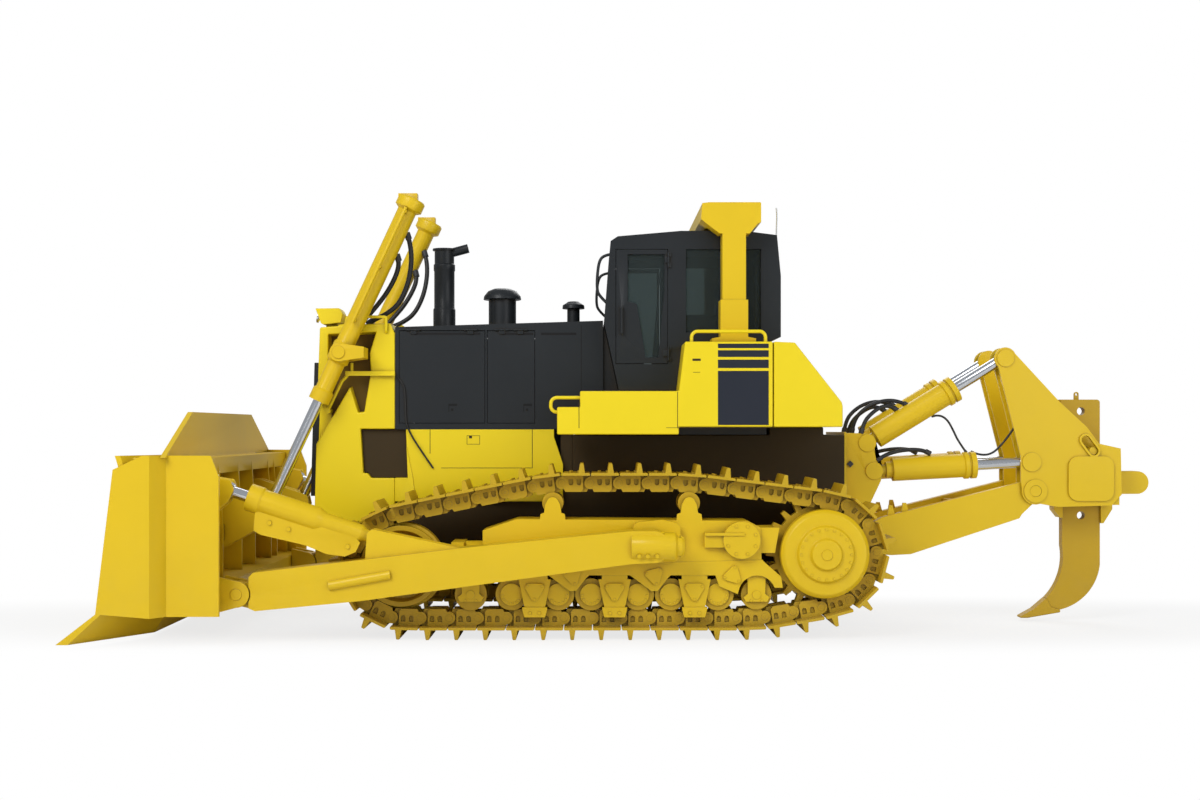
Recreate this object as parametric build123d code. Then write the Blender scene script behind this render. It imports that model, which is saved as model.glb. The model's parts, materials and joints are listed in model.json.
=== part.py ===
from build123d import *
import os
from math import acos, atan2, cos, hypot, pi, radians, sin, tan

# A large crawler bulldozer with a semi-U blade and a single-shank ripper.
# Millimetres, +Z up, the ground at Z = 0. The machine faces -X and its left side is -Y.
# Each piece is drawn on the +Y side and mirrored where the machine has two.
# Points of a side view are (X, Z).

# ---- Driving dimensions: fits -------------------------------------------------------
PIN_CLEARANCE = 0.8          # round a hinge pin, a rod or a shaft, on the radius
SEAT_GAP = 0.3               # between a curved face and what it rests on
MOVING_GAP = 6.0             # between faces that slide past each other

# ---- Driving dimensions: tracks -----------------------------------------------------
TRACK_GAUGE = 2500.0         # between the middles of the two tracks
SHOE_WIDTH = 610.0
SHOE_COUNT = 41
LINK_PITCH = 280.0
GROUSER_HEIGHT = 93.0
GROUSER_ROOT = 62.0
GROUSER_TIP = 30.0
GROUSER_PLACE = 0.30         # along the link, as a share of the pitch
SHOE_THICKNESS = 26.0
SHOE_TO_PIN = 102.0          # from a shoe's outer face in to the pin line
PIN_TO_TREAD = 88.0          # from the pin line in to the face that the rollers run on
RAIL_INSIDE = 85.0           # from the track's middle to the inner face of a link rail
RAIL_WIDTH = 62.0
BUSHING_RADIUS = 44.0
NOTCH_DEPTH = 20.0           # of the notch between two link treads
LINK_LAP = 0.10              # share of the pitch that a notch takes at each end

# ---- Driving dimensions: sprocket, idler, rollers -----------------------------------
SPROCKET_X = 1760.0
SPROCKET_Z = 828.0
SPROCKET_TEETH = 23          # two turns of the wheel use every tooth once
SPROCKET_WIDTH = 116.0
TOOTH_HEIGHT = 34.0          # above the pitch circle
TOOTH_TIP_SHARE = 0.28       # of the tooth spacing
TOOTH_ROOT_SHARE = 0.50
SPROCKET_BORE = 330.0
IDLER_X_GUESS = -2240.0      # the track adjuster moves the idler until the loop is tight
IDLER_TRAVEL = 160.0
IDLER_Z = 700.0
IDLER_PIN_RADIUS = 505.0     # from the idler's axle to the pins that pass round it
IDLER_FLANGE = 30.0
IDLER_SHAFT = 70.0
ROLLER_Z = 428.0
ROLLER_FLANGE = 12.0
ROLLER_FLANGE_WIDTH = 24.0
ROLLER_SHAFT = 48.0
FRONT_ROLLER_X = -1680.0
REAR_ROLLER_X = 1101.0
BOGIE_X = (-1055.0, -279.0, 497.0)
BOGIE_HALF = 228.0           # from a bogie's middle to each of its rollers
CARRIER_X = (-881.0, 446.0)
CARRIER_Z = 1320.0
CARRIER_PIN_HEIGHT = 192.0   # from a carrier roller's axle to the pins above it

# ---- Driving dimensions: track frame -------------------------------------------------
FRAME_HALF = 235.0           # half the width of the track frame
FRAME_BOTTOM = 640.0
FRAME_TOP = 1164.0
FRAME_FRONT = -1560.0
FRAME_REAR = 1150.0
CHEEK = 30.0                 # thickness of the frame's side cheeks
CHEEK_PROUD = 5.0            # how far they stand out from the frame's box
CHEEK_BOTTOM = 620.0
LOBE_X = (-683.0, 109.0)     # where the two front lobes hang down between the bogies
LOBE_BOTTOM = 466.0
LOBE_REAR = (866.0, 622.0)    # middle of the cover on the rear lobe
COVER_PROUD = 22.0           # of the bolted covers on lobes and bogies
BOGIE_TOP = 581.0
BOGIE_BOTTOM = 305.0
BOGIE_TOP_HALF = 157.0
BOGIE_BOTTOM_HALF = 100.0
COLLAR_RADIUS = 108.0        # of the end caps on the roller shafts
COLLAR_THICKNESS = 14.0
GUARD_INSIDE = 158.0         # from the track's middle to the chain guards beside the rails
GUARD_OUTSIDE = 222.0
RECOIL_RADIUS = 150.0
YOKE_HALF_HEIGHT = 90.0
PIVOT_X = 948.0              # the shaft that ties the track frame to the hull
PIVOT_Z = 966.0
PIVOT_RADIUS = 110.0
PIVOT_COVER_RADIUS = 179.0
EQUALIZER_X = -1300.0
EQUALIZER_Z = 900.0
FINAL_DRIVE_RADIUS = 430.0
FINAL_DRIVE_RIM = 1560.0      # Y of the big disc's outer face
FINAL_DRIVE_STEPS = ((282.0, 1600.0), (160.0, 1640.0))   # (radius, outer Y)

# ---- Driving dimensions: hull --------------------------------------------------------
HULL_HALF = 640.0
HULL_BOTTOM = 680.0
HULL_TOP = 1560.0            # under the engine
HULL_DECK = 1980.0           # under the cab
HULL_STEP = -700.0           # behind here the hull is as high as its deck
HULL_REAR = 2090.0
COVER_THICKNESS = 60.0       # of the painted covers on the hull's sides
HOOD_HALF = HULL_HALF + COVER_THICKNESS
NOSE_PROUD = 15.0            # how far the nose stands out from the hood
NOSE_HALF = HOOD_HALF + NOSE_PROUD
NOSE_FRONT = -3336.0
NOSE_REAR = -2511.0
NOSE_BOTTOM = 1090.0
NOSE_HOLLOW = 140.0          # depth of the open bays in the nose's sides
GRILLE_HALF = 560.0
GRILLE_Z = (1350.0, 2724.0)
GRILLE_PROUD = 68.0          # how far the grille stands out ahead of the nose
GRILLE_BAR_PITCH = 98.0
GRILLE_GAP = 55.0
HOOD_REAR = -386.0
HOOD_BOTTOM = 2097.0
HOOD_TOP_FRONT = 3082.0
HOOD_TOP_REAR = 3147.0
HOOD_SHEET = 40.0
SILL = 60.0                  # height of the rail under the hood doors
DOOR_TOP = 3040.0
DOOR_GAP = 10.0
DOOR_SEAMS = (-1581.0, -1071.0)
DOOR_THICK = 35.0
HOOD_HINGE_OUT = 16.0        # from the hood's side out to the engine doors' hinge line
HOOD_HINGE_UP = 12.0         # from the doors' top edge up to it
HOOD_KNUCKLE = 10.0
HINGE_HALF = 30.0            # half the length of a hinge's moving knuckle
HINGE_END = 40.0             # length of each fixed knuckle
HINGE_GAP = 3.0
HOOD_HINGE_INSET = 150.0     # from a door's end to its nearest hinge
ENGINE = ((-2300.0, -760.0), (-380.0, 380.0), (HULL_TOP, 2850.0))

# ---- Driving dimensions: fenders and tanks -------------------------------------------
CAB_HALF = 950.0
FENDER_INSIDE = CAB_HALF
FENDER_OUTSIDE = 1500.0
FENDER_FRONT = -838.0
FENDER_BOTTOM = 1986.0
TANK_BOTTOM = 2059.0
TANK_TOP = 2888.0
TANK_SEAM = 1260.0
TANK_REAR = 1934.0

# ---- Driving dimensions: cab and roll-over frame -------------------------------------
CAB_WALL = 60.0
CAB_BOTTOM = 2432.0
CAB_DOOR_X = (-262.0, 265.0)
CAB_DOOR_Z = (2693.0, 3849.0)
CAB_HINGE_BACK = 5.0         # from the doorway back to the door's hinge line
CAB_HINGE_OUT = 20.0         # from the cab's side out to it
CAB_KNUCKLE = 13.0
CAB_HINGE_Z = (2800.0, 3740.0)
DOOR_THICKNESS = 45.0
GLASS = 10.0
GLASS_INSET = 25.0           # from the cab's side in to the side panes
SIDE_WINDOW_X = (446.0, 1200.0)
SIDE_WINDOW_Z = (3010.0, 3850.0)
FRONT_WINDOW_Z = (3160.0, 3860.0)
FRONT_WINDOW_MARGIN = 190.0  # from the cab's side in to the front window's edge
REAR_WINDOW_Z = (3060.0, 3850.0)
REAR_WINDOW_MARGIN = 250.0
ROPS_CLEAR = 60.0            # between the cab's side and the posts
ROPS_POST = (788.0, 1020.0)
ROPS_POST_WIDTH = 230.0
ROPS_HALF = CAB_HALF + ROPS_CLEAR + ROPS_POST_WIDTH
ROPS_TOP = 4278.0

# ---- Driving dimensions: push arms ----------------------------------------------------
ARM_INSIDE = 1600.0
ARM_OUTSIDE = 1900.0
TRUNNION_X = 88.0
TRUNNION_Z = 924.0
TRUNNION_RADIUS = 90.0
ARM_EYE_RADIUS = 150.0
CAP_RADIUS = 138.0           # of the rounded cap over the trunnion, which lies along the arm
CAP_PROUD = 58.0
EAR_RADIUS = 125.0
BLADE_PIN_X = -3859.0
BLADE_PIN_Z = 476.0
BLADE_PIN_RADIUS = 55.0
EAR_THICKNESS = 58.0

# ---- Driving dimensions: blade ---------------------------------------------------------
BLADE_HALF = 2347.0
WING_FROM = 1450.0           # the wings start here and slant forward to the ends
WING_FORWARD = 400.0
FACE_BOTTOM = (-4643.0, 343.0)
FACE_MIDDLE = (-4390.0, 1080.0)
FACE_TOP = (-4470.0, 1794.0)
FACE_THICKNESS = 50.0
GUARD_TOP = 2207.0
GUARD_FLAT = 1300.0
EDGE_TIP_X = -4864.0
EDGE_TIP_Z = 62.0
EDGE_THICKNESS = 50.0
END_TIP_X = -5407.0
BLADE_REAR = -3950.0
BLADE_BOTTOM = 302.0
WALL = 40.0
RIB = 30.0
RIB_Y = (320.0, 1150.0, 1480.0, 2050.0)

# ---- Driving dimensions: cylinders ------------------------------------------------------
LIFT_Y = 875.0
LIFT_YOKE = (-3034.0, 2808.0)
LIFT_EYE = (-3772.0, 1222.0)
LIFT_ROD = 55.0
TILT_Y = 1750.0
TILT_BASE = (-2512.0, 981.0)
TILT_EYE = (-3987.0, 1463.0)
TILT_ROD = 55.0
EYE_RADIUS = 90.0
EYE_HALF = 60.0              # half the width of a cylinder's eye
EYE_PIN = 42.0
LUG = 32.0                   # thickness of a clevis plate
LIFT_COLLAR = 112.0          # radius of the ring that carries the lift barrel's trunnions
LIFT_TRUNNION = 45.0
YOKE_BOSS = 92.0
YOKE_ARM = 36.0              # thickness of a yoke's two arms

# ---- Driving dimensions: ripper ----------------------------------------------------------
RIPPER_Y = 335.0
RIPPER_ARM_PIVOT = (2230.0, 845.0)
RIPPER_PIN = (4108.0, 1396.0)
RIPPER_TOP_PIN = (3796.0, 2776.0)
RIPPER_LOW_PIN = (4068.0, 1697.0)
RIPPER_HIGH_BASE = (2360.0, 1895.0)
RIPPER_LOW_BASE = (2432.0, 1606.0)
TOP_BOSS = 113.0             # radii of the carrier plates' round bosses
ARM_BOSS = 141.0
LOW_BOSS = 98.0
BOSS_PROUD = 16.0
ARM_PIN = 60.0
RIPPER_ROD = 56.0
RIPPER_BARREL = 122.0
SHANK_HALF = 55.0
SHANK_X = (4499.0, 4902.0)
SHANK_TOP = 2354.0
NUB_TIP = 5407.0
SHANK_HOLE = 42.0
SHANK_HOLE_PLACES = ((4700.0, 2230.0), (4700.0, 1122.0))


# ---- Shapes that every section uses --------------------------------------------------
def side_face(corners, y):
    """Flat face at one Y. A corner is (X, Z), or (via X, via Z, X, Z) if an arc leads to it."""
    ends = [Vector(corner[-2], y, corner[-1]) for corner in corners]
    edges = []
    for index, corner in enumerate(corners):
        if len(corner) == 4:
            via = Vector(corner[0], y, corner[1])
            edges.append(Edge.make_three_point_arc(ends[index - 1], via, ends[index]))
        else:
            edges.append(Edge.make_line(ends[index - 1], ends[index]))
    return Face(Wire(edges))


def slab(corners, y_from, y_to):
    """A side-view outline made thick from one Y to another."""
    return Solid.extrude(side_face(corners, y_from), Vector(0, y_to - y_from, 0))


def block(x_span, y_span, z_span):
    """A box from its spans along X, Y and Z."""
    corner = Vector(x_span[0], y_span[0], z_span[0])
    size = (x_span[1] - x_span[0], y_span[1] - y_span[0], z_span[1] - z_span[0])
    return Solid.make_box(*size, Plane(corner))


def turned(profile, origin, direction):
    """A round piece from (radius, distance) corners, along a direction from its origin."""
    corners = [Vector(radius, 0, distance) for radius, distance in profile]
    face = Face(Wire.make_polygon(corners, close=True))
    return Plane(origin=origin, z_dir=direction).location * Solid.revolve(face, 360, Axis.Z)


def shaft(point, radius, y_from, y_to):
    """A plain cylinder along Y at a side-view point."""
    return Solid.make_cylinder(radius, y_to - y_from, Plane((point[0], y_from, point[1]), z_dir=(0, 1, 0)))


def bar(start, end, radius):
    """A plain cylinder between two points in space."""
    span = Vector(*end) - Vector(*start)
    return Solid.make_cylinder(radius, span.length, Plane(start, z_dir=span))


def joined(*pieces):
    """All pieces fused."""
    return pieces[0].fuse(*pieces[1:])


def both_sides(*pieces):
    """The pieces and their mirror images, as one node."""
    solids = []
    for piece in pieces:
        solids += piece.solids() + mirror(piece, about=Plane.XZ).solids()
    return Compound(children=solids)


def rounded(corners, radius):
    """An outline of (X, Z) corners with each of them turned into an arc."""
    outline = []
    for index, (x, z) in enumerate(corners):
        sides = []
        for other_x, other_z in (corners[index - 1], corners[(index + 1) % len(corners)]):
            span = hypot(other_x - x, other_z - z)
            sides.append(((other_x - x) / span, (other_z - z) / span))
        (back_x, back_z), (on_x, on_z) = sides
        half = acos(back_x * on_x + back_z * on_z) / 2
        run, deep = radius / tan(half), (radius / sin(half) - radius) / (2 * cos(half))
        outline.append((x + run * back_x, z + run * back_z))
        outline.append((x + deep * (back_x + on_x), z + deep * (back_z + on_z), x + run * on_x, z + run * on_z))
    return outline


def left_of(piece):
    """The left-hand twin of a right-hand piece."""
    return mirror(piece, about=Plane.XZ)


def upright(plan, z_from, z_to):
    """A plan-view outline of (X, Y) corners made thick upwards."""
    face = Face(Wire.make_polygon([Vector(x, y, z_from) for x, y in plan], close=True))
    return Solid.extrude(face, Vector(0, 0, z_to - z_from))


def stretch(middle, along, low, high, radius):
    """Part of a hinge line as a cylinder, from and to distances along it."""
    line = Vector(*along)
    start = Vector(*middle) + line * low
    return Solid.make_cylinder(radius, high - low, Plane(start, z_dir=line))


def fixed_knuckles(middle, along, radius):
    """A hinge's two outer knuckles with the pin between them."""
    inner = HINGE_HALF + HINGE_GAP
    outer = inner + HINGE_END
    return joined(stretch(middle, along, -outer, -inner, radius), stretch(middle, along, inner, outer, radius),
                  stretch(middle, along, -outer, outer, radius / 2))


# ---- The track loop -----------------------------------------------------------------
TRACK_Y = TRACK_GAUGE / 2
PIN_Z = GROUSER_HEIGHT + SHOE_TO_PIN
SPROCKET_RADIUS = LINK_PITCH / 2 / sin(2 * pi / SPROCKET_TEETH)


def belt(idler_x):
    """The pin line as runs and arcs, going round by the top: (length, place at a distance)."""
    wheels = [(SPROCKET_X, SPROCKET_Z, SPROCKET_RADIUS)]
    wheels += [(x, CARRIER_Z, CARRIER_PIN_HEIGHT) for x in reversed(CARRIER_X)]
    wheels += [(idler_x, IDLER_Z, IDLER_PIN_RADIUS), (REAR_ROLLER_X, ROLLER_Z, ROLLER_Z - PIN_Z)]
    normals = []
    for index, (x, z, radius) in enumerate(wheels):
        next_x, next_z, next_radius = wheels[(index + 1) % len(wheels)]
        span = hypot(next_x - x, next_z - z)
        normals.append(atan2(next_z - z, next_x - x) - acos((radius - next_radius) / span))
    pieces = []
    for index, (x, z, radius) in enumerate(wheels):
        start, end = normals[index - 1], normals[index]
        turn = (end - start) % (2 * pi)
        pieces.append((radius * turn, (x, z, radius, start)))
        following = wheels[(index + 1) % len(wheels)]
        tangent = (x + radius * cos(end), z + radius * sin(end))
        arrival = (following[0] + following[2] * cos(end), following[1] + following[2] * sin(end))
        pieces.append((hypot(arrival[0] - tangent[0], arrival[1] - tangent[1]), (tangent, arrival)))
    return pieces


def place_on(pieces, distance):
    """The side-view point at a distance round the belt."""
    distance %= sum(length for length, _ in pieces)
    for length, shape in pieces:
        if distance <= length:
            break
        distance -= length
    if len(shape) == 4:
        x, z, radius, start = shape
        angle = start + distance / radius
        return x + radius * cos(angle), z + radius * sin(angle)
    (x, z), (end_x, end_z) = shape
    share = distance / length
    return x + share * (end_x - x), z + share * (end_z - z)


def walk_pins(idler_x):
    """Pins one pitch apart round the belt, and how far the last step ends past the first pin."""
    pieces = belt(idler_x)
    distance = pieces[0][0] / 2
    first = distance
    pins = [place_on(pieces, distance)]
    for _ in range(SHOE_COUNT):
        low, high = distance + 0.9 * LINK_PITCH, distance + 1.4 * LINK_PITCH
        for _ in range(30):
            middle = (low + high) / 2
            x, z = place_on(pieces, middle)
            if hypot(x - pins[-1][0], z - pins[-1][1]) < LINK_PITCH:
                low = middle
            else:
                high = middle
        distance = low
        pins.append(place_on(pieces, distance))
    return pins[:SHOE_COUNT], distance - first - sum(length for length, _ in pieces)


def tighten():
    """The idler's place at which the loop closes on a whole number of links."""
    slack, tight = IDLER_X_GUESS + IDLER_TRAVEL, IDLER_X_GUESS - IDLER_TRAVEL
    for _ in range(30):
        middle = (slack + tight) / 2
        if walk_pins(middle)[1] > 0:
            slack = middle
        else:
            tight = middle
    return middle


IDLER_X = tighten()
PINS = walk_pins(IDLER_X)[0]
LINKS = list(zip(PINS, PINS[1:] + PINS[:1]))


def on_link(link, along, out):
    """A side-view point on a link: a share of its length along, and a distance outwards."""
    (x, z), (next_x, next_z) = link
    span = hypot(next_x - x, next_z - z)
    across_x, across_z = (next_z - z) / span, -(next_x - x) / span
    return x + along * (next_x - x) + out * across_x, z + along * (next_z - z) + out * across_z


def tread_radius(x, z):
    """The radius at which a wheel at this axle meets the nearest link treads."""
    nearest = []
    for link in LINKS:
        (x_1, z_1), (x_2, z_2) = on_link(link, LINK_LAP, -PIN_TO_TREAD), on_link(link, 1 - LINK_LAP, -PIN_TO_TREAD)
        run_x, run_z = x_2 - x_1, z_2 - z_1
        share = ((x - x_1) * run_x + (z - z_1) * run_z) / (run_x**2 + run_z**2)
        share = min(max(share, 0), 1)
        nearest.append(hypot(x_1 + share * run_x - x, z_1 + share * run_z - z))
    return min(nearest) - SEAT_GAP


def ring(outer, inner, y_from, y_to):
    """A closed loop of any outline, made thick along Y."""
    faces = [Face(Wire.make_polygon([Vector(x, y_from, z) for x, z in row], close=True)) for row in (outer, inner)]
    solids = [Solid.extrude(face, Vector(0, y_to - y_from, 0)) for face in faces]
    return solids[0].cut(solids[1])


def track():
    """One fixed loop: shoes with grousers, two link rails and the bushings between them."""
    shoe_out, shoe_in, rail_out, rail_in = [], [], [], []
    root, tip = GROUSER_ROOT / 2 / LINK_PITCH, GROUSER_TIP / 2 / LINK_PITCH
    crown = SHOE_TO_PIN + GROUSER_HEIGHT
    for link in LINKS:
        shoe_out += [on_link(link, 0.03, SHOE_TO_PIN), on_link(link, GROUSER_PLACE - root, SHOE_TO_PIN),
                     on_link(link, GROUSER_PLACE - tip, crown), on_link(link, GROUSER_PLACE + tip, crown),
                     on_link(link, GROUSER_PLACE + root, SHOE_TO_PIN)]
        shoe_in += [on_link(link, 0.03, SHOE_TO_PIN - SHOE_THICKNESS), on_link(link, 0.97, SHOE_TO_PIN - SHOE_THICKNESS)]
        rail_out.append(on_link(link, 0.5, SHOE_TO_PIN - SHOE_THICKNESS / 2))
        rail_in += [on_link(link, 0, NOTCH_DEPTH - PIN_TO_TREAD), on_link(link, LINK_LAP, -PIN_TO_TREAD),
                    on_link(link, 1 - LINK_LAP, -PIN_TO_TREAD)]
    loop = ring(shoe_out, shoe_in, TRACK_Y - SHOE_WIDTH / 2, TRACK_Y + SHOE_WIDTH / 2)
    rails = []
    for y in (TRACK_Y - RAIL_INSIDE - RAIL_WIDTH, TRACK_Y + RAIL_INSIDE):
        rails.append(ring(rail_out, rail_in, y, y + RAIL_WIDTH))
    bushings = []
    for x, z in PINS:
        corners = [(x + BUSHING_RADIUS * cos(k * pi / 3), z + BUSHING_RADIUS * sin(k * pi / 3)) for k in range(6)]
        bushings.append(slab(corners, TRACK_Y - RAIL_INSIDE - RAIL_WIDTH / 2, TRACK_Y + RAIL_INSIDE + RAIL_WIDTH / 2))
    return joined(loop, *rails, *bushings)


def sprocket():
    """Toothed ring whose gaps take the bushings at every second tooth."""
    step = 2 * pi / SPROCKET_TEETH
    first = atan2(PINS[0][1] - SPROCKET_Z, PINS[0][0] - SPROCKET_X)
    root = SPROCKET_RADIUS - BUSHING_RADIUS - MOVING_GAP
    tip = SPROCKET_RADIUS + TOOTH_HEIGHT
    corners = []
    for tooth in range(SPROCKET_TEETH):
        middle = first + (tooth + 0.5) * step
        for share, radius in ((-TOOTH_ROOT_SHARE, root), (-TOOTH_TIP_SHARE, tip),
                              (TOOTH_TIP_SHARE, tip), (TOOTH_ROOT_SHARE, root)):
            angle = middle + share * step / 2
            corners.append((SPROCKET_X + radius * cos(angle), SPROCKET_Z + radius * sin(angle)))
    low, high = TRACK_Y - SPROCKET_WIDTH / 2, TRACK_Y + SPROCKET_WIDTH / 2
    bore = shaft((SPROCKET_X, SPROCKET_Z), SPROCKET_BORE, low, high)
    return slab(corners, low, high).cut(bore)


def final_drive():
    """Stepped case from the hull out to the domed cover, with the sprocket's seat on it."""
    face = TRACK_Y + SPROCKET_WIDTH / 2
    back = TRACK_Y - SPROCKET_WIDTH / 2
    hub = tread_radius(SPROCKET_X, SPROCKET_Z) - MOVING_GAP
    rail = TRACK_Y + RAIL_INSIDE + RAIL_WIDTH + MOVING_GAP
    profile = [(0, HULL_HALF), (380, HULL_HALF), (380, back - 60), (hub, back - 60), (hub, back - SEAT_GAP),
               (SPROCKET_BORE - SEAT_GAP, back - SEAT_GAP), (SPROCKET_BORE - SEAT_GAP, face + SEAT_GAP),
               (hub, face + SEAT_GAP), (hub, rail), (FINAL_DRIVE_RADIUS, rail), (FINAL_DRIVE_RADIUS, FINAL_DRIVE_RIM - 40),
               (FINAL_DRIVE_RADIUS - 40, FINAL_DRIVE_RIM)]
    for radius, y in FINAL_DRIVE_STEPS:
        profile += [(radius, profile[-1][1]), (radius - 20, y)]
    profile.append((0, FINAL_DRIVE_STEPS[-1][1]))
    return turned(profile, (SPROCKET_X, 0, SPROCKET_Z), (0, 1, 0))


def idler():
    """Wheel with a raised middle flange between the link rails, and its hub."""
    tread = tread_radius(IDLER_X, IDLER_Z)
    flange, rail = RAIL_INSIDE - MOVING_GAP, RAIL_INSIDE + RAIL_WIDTH
    profile = [(IDLER_SHAFT, -rail), (150, -rail), (170, -60), (tread - 70, -60), (tread - 50, -rail),
               (tread, -rail), (tread, -flange), (tread + IDLER_FLANGE, 10 - flange)]
    profile += [(radius, -y) for radius, y in reversed(profile)]
    return turned(profile, (IDLER_X, TRACK_Y, IDLER_Z), (0, 1, 0))


def roller(x, z):
    """Roller that carries the link treads between two flanges."""
    tread = tread_radius(x, z)
    rail = RAIL_INSIDE + RAIL_WIDTH + 3
    flange = tread + ROLLER_FLANGE
    profile = [(ROLLER_SHAFT, -rail - ROLLER_FLANGE_WIDTH), (flange, -rail - ROLLER_FLANGE_WIDTH),
               (flange, -rail), (tread, -rail)]
    profile += [(radius, -y) for radius, y in reversed(profile)]
    return turned(profile, (x, TRACK_Y, z), (0, 1, 0))


def mirrored_across_track(piece):
    """The piece on the outer side of a track and its twin on the inner side."""
    return [piece, mirror(piece, about=Plane((0, TRACK_Y, 0), z_dir=(0, 1, 0)))]


def three_cornered_cover(middle, size, turn, y_from, y_to):
    """A bolted cover with three rounded corners, turned by some degrees from pointing down."""
    corners = []
    for step in range(3):
        angle = radians(turn - 90 + 120 * step)
        corners.append((middle[0] + size * cos(angle), middle[1] + size * sin(angle)))
    return slab(rounded(corners, size / 4), y_from, y_to)


CHEEK_FACE = TRACK_Y + FRAME_HALF + CHEEK_PROUD
BOGIE_FACE = TRACK_Y + FRAME_HALF - CHEEK_PROUD
ROLLER_SIDE = RAIL_INSIDE + RAIL_WIDTH + 3 + ROLLER_FLANGE_WIDTH + 4


def bogie(x):
    """Two tapered blocks with feet beside the links; they hold a pair of roller shafts by their end caps."""
    outline = [(x - BOGIE_TOP_HALF, BOGIE_TOP), (x + BOGIE_TOP_HALF, BOGIE_TOP), (x + BOGIE_BOTTOM_HALF, BOGIE_BOTTOM),
               (x - BOGIE_BOTTOM_HALF, BOGIE_BOTTOM)]
    cheek = slab(outline, TRACK_Y + ROLLER_SIDE, BOGIE_FACE)
    foot = slab([(x - 122, BOGIE_BOTTOM + 5), (x + 122, BOGIE_BOTTOM + 5), (x + 118, BOGIE_BOTTOM - 30),
                 (x + 100, BOGIE_BOTTOM - 93), (x - 100, BOGIE_BOTTOM - 93), (x - 118, BOGIE_BOTTOM - 30)],
                TRACK_Y + ROLLER_SIDE, BOGIE_FACE + COVER_PROUD / 2)
    cover = three_cornered_cover((x, BOGIE_BOTTOM + 168), 138, 0, BOGIE_FACE - 5, BOGIE_FACE + COVER_PROUD)
    saddle = block((x - 125, x + 125), (2 * TRACK_Y - BOGIE_FACE, BOGIE_FACE), (BOGIE_TOP - 22, CHEEK_BOTTOM))
    lift = block((x - 120, x + 120), (TRACK_Y - 180, TRACK_Y + 180), (CHEEK_BOTTOM - 5, FRAME_BOTTOM))
    pieces = [saddle, lift, *mirrored_across_track(cheek), *mirrored_across_track(foot), cover]
    for along in (x - BOGIE_HALF, x + BOGIE_HALF):
        end = ROLLER_SIDE + COLLAR_THICKNESS
        pieces.append(shaft((along, ROLLER_Z), ROLLER_SHAFT - PIN_CLEARANCE, TRACK_Y - end, TRACK_Y + end))
        collar = shaft((along, ROLLER_Z), COLLAR_RADIUS, TRACK_Y + ROLLER_SIDE, TRACK_Y + end)
        pieces += mirrored_across_track(collar)
    return joined(*pieces)


def hanger(x):
    """Flared bracket under the track frame that holds one single roller."""
    low = ROLLER_Z - 68
    outline = [(x - 90, FRAME_BOTTOM), (x + 90, FRAME_BOTTOM), (x + 84, ROLLER_Z + 8), (x + 126, ROLLER_Z - 25),
               (x + 104, low), (x - 104, low), (x - 126, ROLLER_Z - 25), (x - 84, ROLLER_Z + 8)]
    cheek = slab(outline, TRACK_Y + ROLLER_SIDE, TRACK_Y + ROLLER_SIDE + 26)
    axle = shaft((x, ROLLER_Z), ROLLER_SHAFT - PIN_CLEARANCE, TRACK_Y - ROLLER_SIDE - 5, TRACK_Y + ROLLER_SIDE + 5)
    cap = shaft((x, ROLLER_Z), 40, TRACK_Y + ROLLER_SIDE + 20, TRACK_Y + ROLLER_SIDE + 36)
    return joined(axle, cap, *mirrored_across_track(cheek))


def frame_cheek():
    """Side plate whose lower edge drops in lobes between the bogies and arches over the last roller."""
    front, rear = FRAME_FRONT + 20, FRAME_REAR - 10
    outline = [(front, CHEEK_BOTTOM)]
    for x in LOBE_X:
        outline += [(x - 239, CHEEK_BOTTOM), (x - 30, LOBE_BOTTOM), (x + 29, LOBE_BOTTOM + 4), (x + 126, CHEEK_BOTTOM - 30),
                    (x + 156, CHEEK_BOTTOM)]
    arch_front, arch_rear = REAR_ROLLER_X - 172, REAR_ROLLER_X + 172
    outline += [(698, CHEEK_BOTTOM), (735, 515), (914, 438), (arch_front, ROLLER_Z + 60),
                (REAR_ROLLER_X, ROLLER_Z + 190, arch_rear, ROLLER_Z + 72), (arch_rear + 80, ROLLER_Z + 72),
                (arch_rear + 62, ROLLER_Z + 180), (rear + 20, 760), (rear + 20, FRAME_BOTTOM + 130),
                (front, FRAME_BOTTOM + 60)]
    return slab(outline, CHEEK_FACE - CHEEK, CHEEK_FACE)


def carrier_stand(x):
    """Bracket on top of the track frame that holds one carrier roller from outside."""
    low, high = TRACK_Y + RAIL_INSIDE + RAIL_WIDTH + 35, TRACK_Y + FRAME_HALF
    outline = [(x - 130, FRAME_TOP - 60), (x + 130, FRAME_TOP - 60), (x + 118, FRAME_TOP + 48), (x + 84, FRAME_TOP + 62),
               (x + 72, CARRIER_Z - 14), (x + 50, CARRIER_Z + 28), (x, CARRIER_Z + 58, x - 50, CARRIER_Z + 28),
               (x - 72, CARRIER_Z - 14), (x - 84, FRAME_TOP + 62), (x - 118, FRAME_TOP + 48)]
    axle = shaft((x, CARRIER_Z), ROLLER_SHAFT - PIN_CLEARANCE, TRACK_Y - 172, high - 10)
    return joined(slab(outline, low, high), axle)


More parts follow.
